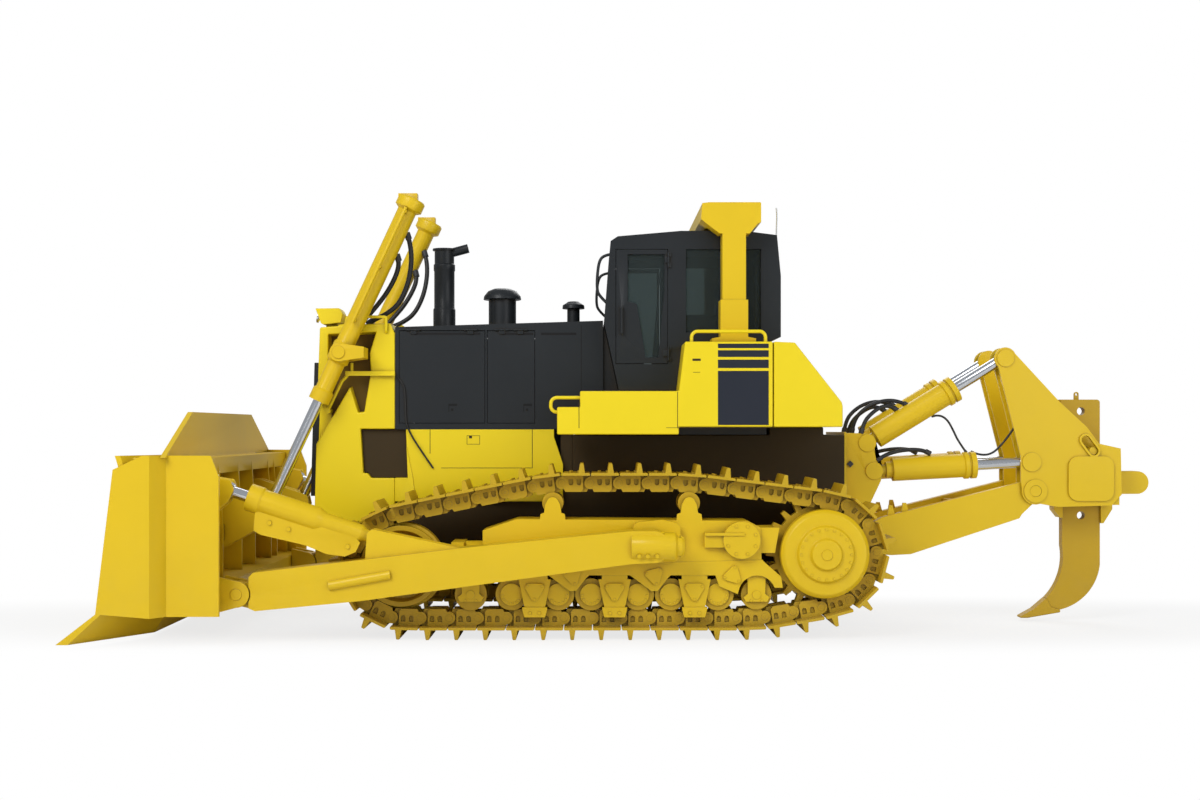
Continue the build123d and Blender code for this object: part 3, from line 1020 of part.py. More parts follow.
def cutting_edge():
    """Wear edge along the bottom of the face, with longer end bits."""
    def section(shift, tip_x, y):
        back = EDGE_THICKNESS
        x, z = FACE_BOTTOM[0] - shift, FACE_BOTTOM[1] - SEAT_GAP
        return side_face([(x, z), (tip_x, EDGE_TIP_Z), (tip_x + 110, EDGE_TIP_Z), (x + back, z)], y)
    centre = Solid.extrude(section(0, EDGE_TIP_X, -WING_FROM), Vector(0, 2 * WING_FROM, 0))
    wing = Solid.make_loft([section(0, EDGE_TIP_X, WING_FROM - 1).outer_wire(),
                            section(WING_FORWARD, END_TIP_X, BLADE_HALF).outer_wire()], True)
    return joined(centre, wing, left_of(wing))


def blade_brackets(body):
    """Ears for the push arms, clevises for the tilt cylinders and plates for the lift cylinders."""
    pieces = []
    back = -4020.0
    pin_x, pin_z = BLADE_PIN_X, BLADE_PIN_Z
    for low in (ARM_INSIDE, ARM_OUTSIDE - EAR_THICKNESS):
        ear = joined(shaft((pin_x, pin_z), EAR_RADIUS, low, low + EAR_THICKNESS),
                     slab([(back, 640), (pin_x + 40, pin_z + 118), (pin_x, pin_z - EAR_RADIUS), (back, BLADE_BOTTOM + 5)], low, low + EAR_THICKNESS))
        pieces.append(ear)
    pieces.append(shaft((pin_x, pin_z), BLADE_PIN_RADIUS, ARM_INSIDE + 5, ARM_OUTSIDE + 12))
    x, z = TILT_EYE
    for low in (TILT_Y - EYE_HALF - MOVING_GAP - LUG, TILT_Y + EYE_HALF + MOVING_GAP):
        pieces.append(slab([(-4430, 1500), (-4200, 1600), (x - 30, z + 110), (x + 60, z + 95), (x + 95, z), (x + 40, z - 110), (-4190, 1150),
                            (-4400, 1150)], low, low + LUG))
    x, z = LIFT_EYE
    for low in (LIFT_Y - EYE_HALF - MOVING_GAP - LUG, LIFT_Y + EYE_HALF + MOVING_GAP):
        pieces.append(slab([(-4405, 1500), (-4200, 1480), (x, z + 115), (x + 90, z + 70), (x + 110, z - 20), (x + 60, z - 110), (-4190, 850),
                            (-4410, 850)], low, low + LUG))
    ahead = ahead_of_face()
    return both_sides(*[piece.cut(ahead, body) for piece in pieces])


# ---- Cylinders ---------------------------------------------------------------------------------
def line_up(start, end):
    """Unit direction and length from one side-view point to another."""
    run_x, run_z = end[0] - start[0], end[1] - start[1]
    length = hypot(run_x, run_z)
    return (run_x / length, 0, run_z / length), length


def rod_with_eye(base, eye, y, radius, reach):
    """Chrome rod that ends in an eye round its pin; reach is how far it goes back from the eye."""
    direction, _ = line_up(eye, base)
    origin = (eye[0], y, eye[1])
    rod = turned([(0, 0), (radius, 0), (radius, reach), (0, reach)], origin, direction)
    ring_piece = shaft(eye, EYE_RADIUS, y - EYE_HALF, y + EYE_HALF)
    return joined(rod, ring_piece)


def barrel(base, eye, y, profile, bore, bore_from):
    """Barrel from (radius, distance) corners along its axis, with a blind bore for the rod."""
    direction, _ = line_up(base, eye)
    origin = (base[0], y, base[1])
    body = turned(profile, origin, direction)
    last = profile[-1][1]
    hole = turned([(0, bore_from), (bore, bore_from), (bore, last + 10), (0, last + 10)], origin, direction)
    return body, hole


def lift_barrel():
    """Lift cylinder's barrel, hung in its yoke, with the gland at its lower end."""
    profile = [(0, -1718), (125, -1718), (140, -1700), (140, -1610), (96, -1580), (96, -110), (LIFT_COLLAR, -90),
               (LIFT_COLLAR, 90), (88, 110), (88, 400), (108, 420), (108, 533), (0, 533)]
    body, hole = barrel(LIFT_YOKE, LIFT_EYE, LIFT_Y, profile, LIFT_ROD + PIN_CLEARANCE, -1150)
    reach = LIFT_COLLAR + MOVING_GAP + YOKE_ARM - 10
    trunnion = shaft(LIFT_YOKE, LIFT_TRUNNION, LIFT_Y - reach, LIFT_Y + reach)
    along, _ = line_up(LIFT_YOKE, LIFT_EYE)
    top = (LIFT_YOKE[0] - 1660 * along[0], LIFT_YOKE[1] - 1660 * along[2])
    ports = block((top[0] - 115, top[0] + 75), (LIFT_Y - 60, LIFT_Y + 60), (top[1] - 60, top[1] + 100))
    pipe = bar((top[0] + 60 * along[0], LIFT_Y + 155, top[1] + 60 * along[2]),
               (LIFT_YOKE[0] - 330 * along[0], LIFT_Y + 155, LIFT_YOKE[1] - 330 * along[2]), 17)
    clamps = [bar((LIFT_YOKE[0] - reach_up * along[0], LIFT_Y, LIFT_YOKE[1] - reach_up * along[2]),
                  (LIFT_YOKE[0] - reach_up * along[0], LIFT_Y + 160, LIFT_YOKE[1] - reach_up * along[2]), 24)
              for reach_up in (1560, 950, 360)]
    return joined(body, trunnion, ports, pipe, *clamps).cut(hole)


def tilt_barrel():
    """Tilt cylinder's barrel on the push arm."""
    profile = [(0, 50), (52, 50), (58, 155), (86, 200), (86, 560), (118, 640), (118, 1180), (132, 1200), (132, 1321), (0, 1321)]
    body, hole = barrel(TILT_BASE, TILT_EYE, TILT_Y, profile, TILT_ROD + PIN_CLEARANCE, 1050)
    eye = shaft(TILT_BASE, EYE_RADIUS, TILT_Y - EYE_HALF, TILT_Y + EYE_HALF)
    bore = shaft(TILT_BASE, EYE_PIN + PIN_CLEARANCE, TILT_Y - 100, TILT_Y + 100)
    guard = slab([(-3690, 1330), (-3711, 1075), (-3640, 1035), (-3225, 938), (-3018, 852), (-2844, 829), (-2741, 872), (-2700, 960),
                  (-2780, 1060)], TILT_Y + 40, TILT_Y + 72)
    return joined(body, eye, guard).cut(hole, bore)


def ripper_barrel(base, eye, reach, neck, start):
    """Ripper cylinder's barrel on the rear bracket, with a flanged head."""
    profile = [(0, 40), (58, 40), (58, neck), (85, neck), (85, start), (RIPPER_BARREL, start), (RIPPER_BARREL, reach - 130), (140, reach - 120),
               (140, reach - 78), (RIPPER_BARREL, reach - 72), (RIPPER_BARREL, reach - 58), (140, reach - 52), (140, reach),
               (0, reach)]
    body, hole = barrel(base, eye, RIPPER_Y, profile, RIPPER_ROD + PIN_CLEARANCE, 500)
    ring_piece = shaft(base, EYE_RADIUS, RIPPER_Y - EYE_HALF, RIPPER_Y + EYE_HALF)
    bore = shaft(base, EYE_PIN + PIN_CLEARANCE, RIPPER_Y - 100, RIPPER_Y + 100)
    return joined(body, ring_piece).cut(hole, bore)


# ---- Ripper ----------------------------------------------------------------------------------------
RIPPER_IN = RIPPER_Y - EYE_HALF - MOVING_GAP
RIPPER_OUT = RIPPER_Y + EYE_HALF + MOVING_GAP


def ripper_bracket():
    """Back plate and four upright plates that carry the ripper's arms and cylinders."""
    front = HULL_REAR + SEAT_GAP
    outline = [(front, 720), (2230, 720), (2340, 800), (2345, 900), (2348, 1100), (2375, 1230), (2440, 1370), (2502, 1500), (2528, 1606),
               (2500, 1690), (2455, 1730), (2440, 1800), (2458, 1895), (2430, 1970), (2360, 1996), (front, 2000)]
    plates = []
    for low in (RIPPER_IN - LUG, RIPPER_OUT):
        plates.append(slab(outline, low, low + LUG))
    for x, z in (RIPPER_HIGH_BASE, RIPPER_LOW_BASE):
        plates.append(shaft((x, z), EYE_RADIUS, RIPPER_OUT, RIPPER_OUT + LUG + BOSS_PROUD))
    back = block((HULL_REAR + SEAT_GAP, HULL_REAR + 22), (-HULL_HALF + 20, HULL_HALF - 20), (720, 2010))
    pins = []
    for base in (RIPPER_HIGH_BASE, RIPPER_LOW_BASE):
        pins.append(shaft(base, EYE_PIN, RIPPER_IN - 5, RIPPER_OUT + 5))
    pins.append(shaft(RIPPER_ARM_PIVOT, ARM_PIN, RIPPER_IN - 5, RIPPER_OUT + 5))
    pieces = [back]
    for piece in plates + pins:
        pieces += [piece, left_of(piece)]
    return joined(*pieces)


def ripper_arms():
    """Two side arms tied by a cross beam, with a pair of hose lugs on each."""
    low, high = RIPPER_Y - EYE_HALF, RIPPER_Y + EYE_HALF
    outline = [(2190, 925), (2521, 1120), (3929, 1473), (4022, 1496), (4004, 1194), (3952, 1110), (2820, 737), (2617, 727), (2210, 751)]
    arm = slab(outline, low, high)
    ends = [shaft(RIPPER_ARM_PIVOT, 110, low, high), shaft(RIPPER_PIN, 120, low, high)]
    link = slab([(3932, 1476), (RIPPER_PIN[0], RIPPER_PIN[1] + 120), (RIPPER_PIN[0], RIPPER_PIN[1] - 120), (3932, 1110)], low, high)
    lugs = [slab([(x, 1130 + rise), (x + 12, 1245 + rise), (x + 50, 1245 + rise), (x + 82, 1130 + rise)], high - 60, high - 28)
            for x, rise in ((2585, 0), (2730, 25))]
    arm = joined(arm, link, *ends, *lugs)
    arm = arm.cut(shaft(RIPPER_ARM_PIVOT, ARM_PIN + PIN_CLEARANCE, low - 5, high + 5),
                  shaft(RIPPER_PIN, ARM_PIN + PIN_CLEARANCE, low - 5, high + 5))
    cross = block((3300, 3560), (-low - 5, low + 5), (1060, 1290))
    return joined(arm, left_of(arm), cross)


def carrier_pins():
    """The pins that join arms and carrier."""
    reach = EYE_HALF + MOVING_GAP + LUG + BOSS_PROUD - 4
    return both_sides(shaft(RIPPER_PIN, ARM_PIN, RIPPER_Y - EYE_HALF - 36, RIPPER_Y + reach))


PIN_WINDOW = ((4626, 1926), (4710, 1812))   # the ends of the slanted window over the shank pin


def window_outline(half):
    """Outline of the slanted window with round ends, at half its width."""
    (x_1, z_1), (x_2, z_2) = PIN_WINDOW
    span = hypot(x_2 - x_1, z_2 - z_1)
    along_x, along_z = half * (x_2 - x_1) / span, half * (z_2 - z_1) / span
    return [(x_1 + along_z, z_1 - along_x), (x_1 - along_x, z_1 - along_z, x_1 - along_z, z_1 + along_x),
            (x_2 - along_z, z_2 + along_x), (x_2 + along_x, z_2 + along_z, x_2 + along_z, z_2 - along_x)]


def carrier_plate(low):
    """One plate of the carrier, from the tilt cylinder's pin down to the shank's box."""
    outline = [(3722, 2690), (3712, 2790), (3796, 2870), (3881, 2842), (4352, 2331), (4646, 2058), (4768, 1889), (4995, 1838), (5005, 1360),
               (4901, 1246), (4342, 1230), (4202, 1256), (4108, 1270), (3972, 1396), (3957, 1500), (3957, 1756)]
    bosses = [shaft(RIPPER_TOP_PIN, TOP_BOSS, low, low + LUG), shaft(RIPPER_PIN, ARM_BOSS, low, low + LUG)]
    return joined(slab(outline, low, low + LUG), *bosses)


def ripper_carrier():
    """Cross box with a pocket for the shank, and paired plates up to the tilt cylinders' pins."""
    outside = RIPPER_OUT + LUG
    proud = outside + BOSS_PROUD
    outer = joined(carrier_plate(RIPPER_OUT), shaft(RIPPER_TOP_PIN, TOP_BOSS - 25, outside - 5, proud),
                   shaft(RIPPER_LOW_PIN, LOW_BOSS, outside - 5, proud),
                   shaft(RIPPER_PIN, ARM_BOSS - 20, outside - 5, proud),
                   slab(rounded([(4446, 1294), (4917, 1294), (4917, 1756), (4446, 1756)], 100), outside - 5, outside + 26),
                   slab(window_outline(66), outside - 5, outside + 24))
    outer = outer.cut(slab(window_outline(46), RIPPER_OUT - 5, outside + 30))
    pieces = []
    for plate in (carrier_plate(RIPPER_IN - LUG), outer):
        plate = plate.cut(shaft(RIPPER_PIN, ARM_PIN + PIN_CLEARANCE, RIPPER_IN - LUG - 5, proud + 5))
        pieces += [plate, left_of(plate)]
    box = block((4380, 4990), (-RIPPER_OUT - 5, RIPPER_OUT + 5), (1250, 1830))
    wide = SHANK_HALF + SEAT_GAP
    front, rear = SHANK_X[0] - SEAT_GAP, SHANK_X[1] + SEAT_GAP
    pocket = block((front, rear), (-wide, wide), (1000, 1900))
    rear_stop = slab([(rear, 1260), (5024, 1260), (5024, 1190), (4930, 1040), (rear, 1040)], -wide - 30, wide + 30)
    front_stop = slab([(4400, 1260), (front, 1260), (front, 1100), (4470, 1100), (4407, 1180)], -wide - 30, wide + 30)
    nub = slab([(4985, 1350), (4985, 1590), (NUB_TIP - 122, 1593), (NUB_TIP, 1473, NUB_TIP - 122, 1352)], -90, 90)
    catch = joined(shaft(PIN_WINDOW[1], 40, RIPPER_IN, outside - 8), block((4690, 4735), (RIPPER_IN, RIPPER_OUT), (1780, 1830)))
    pieces += [box, rear_stop, front_stop, nub, catch, left_of(catch)]
    return joined(*pieces).cut(pocket)


def ripper_shank():
    """Curved shank with the holes that set its height and a lifting ring on top."""
    front, rear = SHANK_X
    outline = [(front - 15, SHANK_TOP), (rear - 36, SHANK_TOP), (rear - 10, SHANK_TOP - 10, rear, SHANK_TOP - 36), (rear, 600),
               (4790, 320, 4478, 120), (4380, 150), (4330, 245), (4455, 430, front, 800), (front, 2000)]
    shank = slab(outline, -SHANK_HALF, SHANK_HALF)
    ring = slab([(4642, SHANK_TOP - 5), (4642, SHANK_TOP + 58), (4666, SHANK_TOP + 82, 4690, SHANK_TOP + 58), (4690, SHANK_TOP - 5)], -14, 14)
    ring = ring.cut(shaft((4666, SHANK_TOP + 55), 13, -20, 20))
    holes = [shaft(place, SHANK_HOLE, -SHANK_HALF - 5, SHANK_HALF + 5) for place in SHANK_HOLE_PLACES]
    return joined(shank, ring).cut(*holes)


def ripper_tooth():
    """Replaceable point at the end of the shank."""
    outline = [(4380, 150), (4330, 245), (4190, 125), (4053, 50), (4053, 32), (4130, 32), (4478, 92), (4478, 120)]
    return slab(outline, -70, 70)


# ---- All nodes -----------------------------------------------------------------------------------
hood_piece = hood()
nose_piece = radiator_guard()
moldboard_piece = moldboard()
nodes = {
    "main_frame": main_frame(),
    "engine_block": block(*ENGINE),
    "radiator_guard": nose_piece,
    "front_grille": front_grille(),
    "lift_yokes": both_sides(lift_yokes()),
    "engine_hood": hood_piece,
    "exhaust_stack": exhaust_stack().cut(hood_piece),
    "air_precleaner": stack_with_cap(-1455, HOOD_TOP_FRONT, 146, 202, 3417, 3534).cut(hood_piece),
    "breather": stack_with_cap(-697, HOOD_TOP_FRONT, 67, 119, 3321, 3400).cut(hood_piece),
    "lower_side_covers": lower_side_covers(),
    "track_frames": both_sides(track_frame()),
    "tracks": both_sides(track()),
    "idlers": both_sides(idler()),
    "sprockets": both_sides(sprocket()),
    "final_drives": both_sides(final_drive()),
    "track_rollers": both_sides(*[roller(x, ROLLER_Z) for x in (FRONT_ROLLER_X, REAR_ROLLER_X)],
                                *[roller(x + side * BOGIE_HALF, ROLLER_Z) for x in BOGIE_X for side in (-1, 1)]),
    "carrier_rollers": both_sides(*[roller(x, CARRIER_Z) for x in CARRIER_X]),
    "bogies": both_sides(*[bogie(x) for x in BOGIE_X]),
    "fenders": both_sides(fender()),
    "rear_fuel_tank": rear_tank(),
    "cab_platform": cab_platform(),
    "cab_shell": cab_shell(),
    "cab_glass": cab_glass(),
    "operator_seat": operator_seat(),
    "rops": rops(),
    "handrails": handrails(nose_piece),
    "head_lamps": head_lamps(nose_piece),
    "ripper_bracket": ripper_bracket(),
    "push_arms": both_sides(push_arm()),
    "moldboard": moldboard_piece,
    "cutting_edge": cutting_edge().cut(moldboard_piece),
    "blade_brackets": blade_brackets(moldboard_piece),
    "lift_barrels": both_sides(lift_barrel()),
    "lift_rods": both_sides(rod_with_eye(LIFT_YOKE, LIFT_EYE, LIFT_Y, LIFT_ROD, 1788)),
    "tilt_barrels": both_sides(tilt_barrel()),
    "tilt_rods": both_sides(rod_with_eye(TILT_BASE, TILT_EYE, TILT_Y, TILT_ROD, 390)),
    "ripper_arms": ripper_arms(),
    "ripper_carrier_pins": carrier_pins(),
    "ripper_carrier": ripper_carrier(),
    "ripper_shank": ripper_shank(),
    "ripper_tooth": ripper_tooth(),
    "ripper_tilt_barrels": both_sides(ripper_barrel(RIPPER_HIGH_BASE, RIPPER_TOP_PIN, 1090, 112, 118)),
    "ripper_tilt_rods": both_sides(rod_with_eye(RIPPER_HIGH_BASE, RIPPER_TOP_PIN, RIPPER_Y, RIPPER_ROD, 950)),
    "ripper_lift_barrels": both_sides(ripper_barrel(RIPPER_LOW_BASE, RIPPER_LOW_PIN, 1073, 136, 205)),
    "ripper_lift_rods": both_sides(rod_with_eye(RIPPER_LOW_BASE, RIPPER_LOW_PIN, RIPPER_Y, RIPPER_ROD, 900)),
    "cab_door_right": cab_door(),
    "cab_door_left": left_of(cab_door()),
    "cab_door_glass_right": cab_door_glass(),
    "cab_door_glass_left": left_of(cab_door_glass()),
    "engine_door_front_right": engine_door(FRONT_DOOR),
    "engine_door_front_left": left_of(engine_door(FRONT_DOOR)),
    "engine_door_rear_right": engine_door(REAR_DOOR),
    "engine_door_rear_left": left_of(engine_door(REAR_DOOR)),
}

os.makedirs("parts", exist_ok=True)
for name, piece in nodes.items():
    export_step(piece, f"parts/{name}.step")
    print(name, len(piece.solids()), "solids")
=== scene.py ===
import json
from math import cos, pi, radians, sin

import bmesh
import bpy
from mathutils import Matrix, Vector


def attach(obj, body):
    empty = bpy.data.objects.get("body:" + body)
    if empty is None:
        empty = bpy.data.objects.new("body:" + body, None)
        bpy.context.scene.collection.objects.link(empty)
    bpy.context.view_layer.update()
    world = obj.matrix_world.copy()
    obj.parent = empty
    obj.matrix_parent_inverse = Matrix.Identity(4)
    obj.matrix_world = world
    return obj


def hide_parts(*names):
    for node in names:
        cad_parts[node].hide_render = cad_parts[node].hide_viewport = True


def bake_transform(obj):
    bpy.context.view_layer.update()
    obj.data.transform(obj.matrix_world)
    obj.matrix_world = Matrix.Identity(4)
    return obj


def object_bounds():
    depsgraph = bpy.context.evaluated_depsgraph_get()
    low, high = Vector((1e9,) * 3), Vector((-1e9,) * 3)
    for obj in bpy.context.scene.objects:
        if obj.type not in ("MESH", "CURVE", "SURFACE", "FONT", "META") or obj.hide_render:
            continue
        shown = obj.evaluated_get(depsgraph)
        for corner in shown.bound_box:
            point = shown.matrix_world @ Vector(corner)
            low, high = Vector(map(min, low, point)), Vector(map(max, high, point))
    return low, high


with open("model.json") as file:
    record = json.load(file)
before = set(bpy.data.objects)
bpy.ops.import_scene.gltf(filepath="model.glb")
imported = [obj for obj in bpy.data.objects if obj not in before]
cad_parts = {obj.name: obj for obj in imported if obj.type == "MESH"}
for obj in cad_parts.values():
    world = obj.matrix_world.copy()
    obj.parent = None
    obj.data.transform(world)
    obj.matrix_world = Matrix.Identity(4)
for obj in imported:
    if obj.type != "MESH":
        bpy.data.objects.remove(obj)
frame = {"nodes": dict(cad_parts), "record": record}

# %% [markdown]
# # A crawler bulldozer, dressed
# The frame that has just been loaded holds every rigid piece of the machine at its real
# size, in metres, with +Z up. The machine faces -X and its left side is -Y. The cells below
# give those pieces rounded edges and paint, and add the small things that a frame leaves
# out: chain links, bolts, hoses, lamp glass, linings and stripes.

cad_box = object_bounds()
nodes = frame["nodes"]
body_of_node = {node: body for body,
                members in frame["record"]["behaviour"]["bodies"].items() for node in members}
slot_of_node = {row["node"]: row["material_slot"] for row in frame["record"]["subparts"]}
print("machine box:", [[round(value, 3) for value in corner] for corner in cad_box])

# %% [markdown]
# ## The camera
# The machine is seen square from its left side, from a little above the height of the
# tracks. The lens is a fairly long one, about 16 m away, so the near track is only slightly
# larger than the far one. A small shift centres the picture without tilting the camera,
# which keeps every upright edge upright.

# %% Camera
CAMERA_PLACE = (-0.499, -16.4, 2.03)
SHIFT_SIDEWAYS, SHIFT_UP = 1 / 150, 1 / 40      # in widths of the picture
camera_data = bpy.data.cameras.new("side_camera")
camera_data.lens = 46.11
camera_data.sensor_width = 36.0
camera_data.shift_x = SHIFT_SIDEWAYS
camera_data.shift_y = SHIFT_UP
camera = bpy.data.objects.new("side_camera", camera_data)
camera.location = CAMERA_PLACE
camera.rotation_euler = (radians(90), 0, 0)
bpy.context.scene.collection.objects.link(camera)
bpy.context.scene.camera = camera
bpy.context.scene.view_settings.view_transform = "Standard"
print("camera at", CAMERA_PLACE, "with a", camera_data.lens, "mm lens")

# %% [markdown]
# ## Light and floor
# Paint shows its colour best in broad, soft light. A large key light stands high at the
# left of the camera, a wider fill at its right, and a third lamp behind lifts the far
# edges. The floor and the sky are white to the camera alone, through Light Path, so the
# machine itself isn't lit more than it should be and its shadow still falls on the floor.

# %% Lamps
# name, place, size, power in watts
LAMPS = (
    ("key_light", (-9.0, -15.0, 13.0), 9.0, 1900),
    ("fill_light", (11.0, -14.0, 6.0), 10.0, 620),
    ("back_light", (2.0, 13.0, 12.0), 10.0, 900),
)
for name, place, size, power in LAMPS:
    lamp_data = bpy.data.lights.new(name, "AREA")
    lamp_data.size = size
    lamp_data.energy = power
    lamp = bpy.data.objects.new(name, lamp_data)
    lamp.location = place
    lamp.rotation_euler = (Vector((0, 0, 1.6)) - Vector(place)).to_track_quat("-Z", "Y").to_euler()
    bpy.context.scene.collection.objects.link(lamp)
print(len(LAMPS), "lamps")


# %% Node helpers
def add_node(tree, kind, inputs=(), **settings):
    """A shader node with its settings, and its inputs given as values or as other nodes' sockets."""
    node = tree.nodes.new(kind)
    for name, value in settings.items():
        setattr(node, name, value)
    for name, value in dict(inputs).items():
        if isinstance(value, bpy.types.NodeSocket):
            tree.links.new(value, node.inputs[name])
        else:
            node.inputs[name].default_value = value
    return node


def new_group(name, sockets_in, sockets_out):
    """A shader node group with named sockets: (name, kind, default) in and (name, kind) out."""
    group = bpy.data.node_groups.new(name, "ShaderNodeTree")
    for title, kind, default in sockets_in:
        socket = group.interface.new_socket(title, in_out="INPUT", socket_type=kind)
        socket.default_value = default
    for title, kind in sockets_out:
        group.interface.new_socket(title, in_out="OUTPUT", socket_type=kind)
    return group, group.nodes.new("NodeGroupInput"), group.nodes.new("NodeGroupOutput")


def place_group(tree, group, inputs=()):
    """The group as one node of a material."""
    return add_node(tree, "ShaderNodeGroup", inputs, node_tree=group)


FLOAT, COLOUR = "NodeSocketFloat", "NodeSocketColor"
print("node helpers ready")

# %% World and floor
world = bpy.data.worlds.new("white_studio")
bpy.context.scene.world = world
world.use_nodes = True
world.node_tree.nodes.clear()
path = add_node(world.node_tree, "ShaderNodeLightPath")
seen = add_node(world.node_tree, "ShaderNodeMath",
                {0: path.outputs["Is Camera Ray"], 1: path.outputs["Is Transmission Ray"]},
                operation="MAXIMUM")
soft = add_node(world.node_tree, "ShaderNodeBackground", {"Color": (0.93, 0.96, 1.0, 1), "Strength": 0.4})
white = add_node(world.node_tree, "ShaderNodeBackground", {"Color": (1, 1, 1, 1), "Strength": 1.0})
both = add_node(world.node_tree, "ShaderNodeMixShader",
                {0: seen.outputs[0], 1: soft.outputs[0], 2: white.outputs[0]})
add_node(world.node_tree, "ShaderNodeOutputWorld", {"Surface": both.outputs[0]})

FLOOR_HALF = 60.0
floor_mesh = bmesh.new()
bmesh.ops.create_grid(floor_mesh, x_segments=1, y_segments=1, size=FLOOR_HALF)
floor_data = bpy.data.meshes.new("studio_floor")
floor_mesh.to_mesh(floor_data)
floor = bpy.data.objects.new("studio_floor", floor_data)
floor.location = (0, 0, cad_box[0][2] - 0.001)
bpy.context.scene.collection.objects.link(floor)

floor_paint = bpy.data.materials.new("pale_floor")
floor_paint.use_nodes = True
tree = floor_paint.node_tree
tree.nodes.clear()
path = add_node(tree, "ShaderNodeLightPath")
matte = add_node(tree, "ShaderNodeBsdfDiffuse", {"Color": (0.86, 0.86, 0.86, 1)})
glow = add_node(tree, "ShaderNodeEmission", {"Color": (1, 1, 1, 1), "Strength": 1.0})
place = add_node(tree, "ShaderNodeTexCoord")
middle = add_node(tree, "ShaderNodeVectorMath", {0: place.outputs["Object"], 1: (0.1, 0.45, 0.0)},
                  operation="MULTIPLY")
reach = add_node(tree, "ShaderNodeVectorMath", {0: middle.outputs[0]}, operation="LENGTH")
fade = add_node(tree, "ShaderNodeMapRange",
                {"Value": reach.outputs["Value"], "From Min": 0.55, "From Max": 1.25,
                                             "To Min": 0.78, "To Max": 1.0}, interpolation_type="SMOOTHSTEP")
share = add_node(tree, "ShaderNodeMath", {0: path.outputs["Is Camera Ray"], 1: fade.outputs[0]},
                 operation="MULTIPLY")
mixed = add_node(tree, "ShaderNodeMixShader", {0: share.outputs[0], 1: matte.outputs[0], 2: glow.outputs[0]})
add_node(tree, "ShaderNodeOutputMaterial", {"Surface": mixed.outputs[0]})
floor_data.materials.append(floor_paint)
print("floor", 2 * FLOOR_HALF, "m wide")

# %% [markdown]
# ## Finishes
# Machine paint is thick and glossy, sprayed over castings and plate. Up close it has a
# faint orange peel, its colour drifts a little from panel to panel, dust lies on the
# surfaces that face up, and it thins on sharp edges. Each of those effects is wanted in
# several materials, so each is a node group with named inputs.

# %% Group: colour drift
drift, ins, outs = new_group("colour_drift", [("Color", COLOUR, (1, 1, 1, 1)), ("Spread", FLOAT, 0.05),
                                              ("Scale", FLOAT, 1.5), ("Roughness", FLOAT, 0.4),
                                              ("Roughness Spread", FLOAT, 0.1)],
                             [("Color", COLOUR), ("Roughness", FLOAT)])
place = add_node(drift, "ShaderNodeTexCoord")
clouds = add_node(drift, "ShaderNodeTexNoise",
                  {"Vector": place.outputs["Object"], "Scale": ins.outputs["Scale"],
                                                "Detail": 4.0, "Roughness": 0.6})
swing = add_node(drift, "ShaderNodeMath", {0: clouds.outputs["Fac"], 1: 0.5}, operation="SUBTRACT")
tint = add_node(drift, "ShaderNodeMath", {0: swing.outputs[0], 1: ins.outputs["Spread"]},
                operation="MULTIPLY")
value = add_node(drift, "ShaderNodeMath", {0: tint.outputs[0], 1: 1.0}, operation="ADD")
shaded = add_node(drift, "ShaderNodeHueSaturation",
                  {"Color": ins.outputs["Color"], "Value": value.outputs[0]})
rough = add_node(drift, "ShaderNodeMath", {0: swing.outputs[0], 1: ins.outputs["Roughness Spread"],
                                           2: ins.outputs["Roughness"]}, operation="MULTIPLY_ADD")
drift.links.new(shaded.outputs[0], outs.inputs["Color"])
drift.links.new(rough.outputs[0], outs.inputs["Roughness"])
print("group", drift.name)

# %% Group: settled dust
dust, ins, outs = new_group("settled_dust",
                            [("Color", COLOUR, (1, 1, 1, 1)), ("Dust Color", COLOUR, (0.4, 0.33, 0.2, 1)),
                                             ("Amount", FLOAT, 0.3), ("Height", FLOAT, 1.2)],
                            [("Color", COLOUR), ("Mask", FLOAT)])
place = add_node(dust, "ShaderNodeTexCoord")
height = add_node(dust, "ShaderNodeSeparateXYZ", {0: place.outputs["Object"]})
low = add_node(dust, "ShaderNodeMapRange", {"Value": height.outputs["Z"], "From Min": ins.outputs["Height"],
                                            "From Max": 0.0, "To Min": 0.0, "To Max": 1.0})
facing = add_node(dust, "ShaderNodeNewGeometry")
upward = add_node(dust, "ShaderNodeSeparateXYZ", {0: facing.outputs["Normal"]})
lying = add_node(dust, "ShaderNodeMapRange", {"Value": upward.outputs["Z"], "From Min": 0.2, "From Max": 1.0,
                                              "To Min": 0.25, "To Max": 1.0})
patches = add_node(dust, "ShaderNodeTexNoise",
                   {"Vector": place.outputs["Object"], "Scale": 5.0, "Detail": 6.0})
spots = add_node(dust, "ShaderNodeMapRange",
                 {"Value": patches.outputs["Fac"], "From Min": 0.35, "From Max": 0.7,
                                              "To Min": 0.2, "To Max": 1.0})
first = add_node(dust, "ShaderNodeMath", {0: low.outputs[0], 1: lying.outputs[0]}, operation="MULTIPLY")
second = add_node(dust, "ShaderNodeMath", {0: first.outputs[0], 1: spots.outputs[0]}, operation="MULTIPLY")
mask = add_node(dust, "ShaderNodeMath", {0: second.outputs[0], 1: ins.outputs["Amount"]},
                operation="MULTIPLY")
covered = add_node(dust, "ShaderNodeMix", {"Factor": mask.outputs[0], "A": ins.outputs["Color"]},
                   data_type="RGBA")
dust.links.new(ins.outputs["Color"], covered.inputs[6])
dust.links.new(ins.outputs["Dust Color"], covered.inputs[7])
dust.links.new(covered.outputs[2], outs.inputs["Color"])
dust.links.new(mask.outputs[0], outs.inputs["Mask"])
print("group", dust.name)

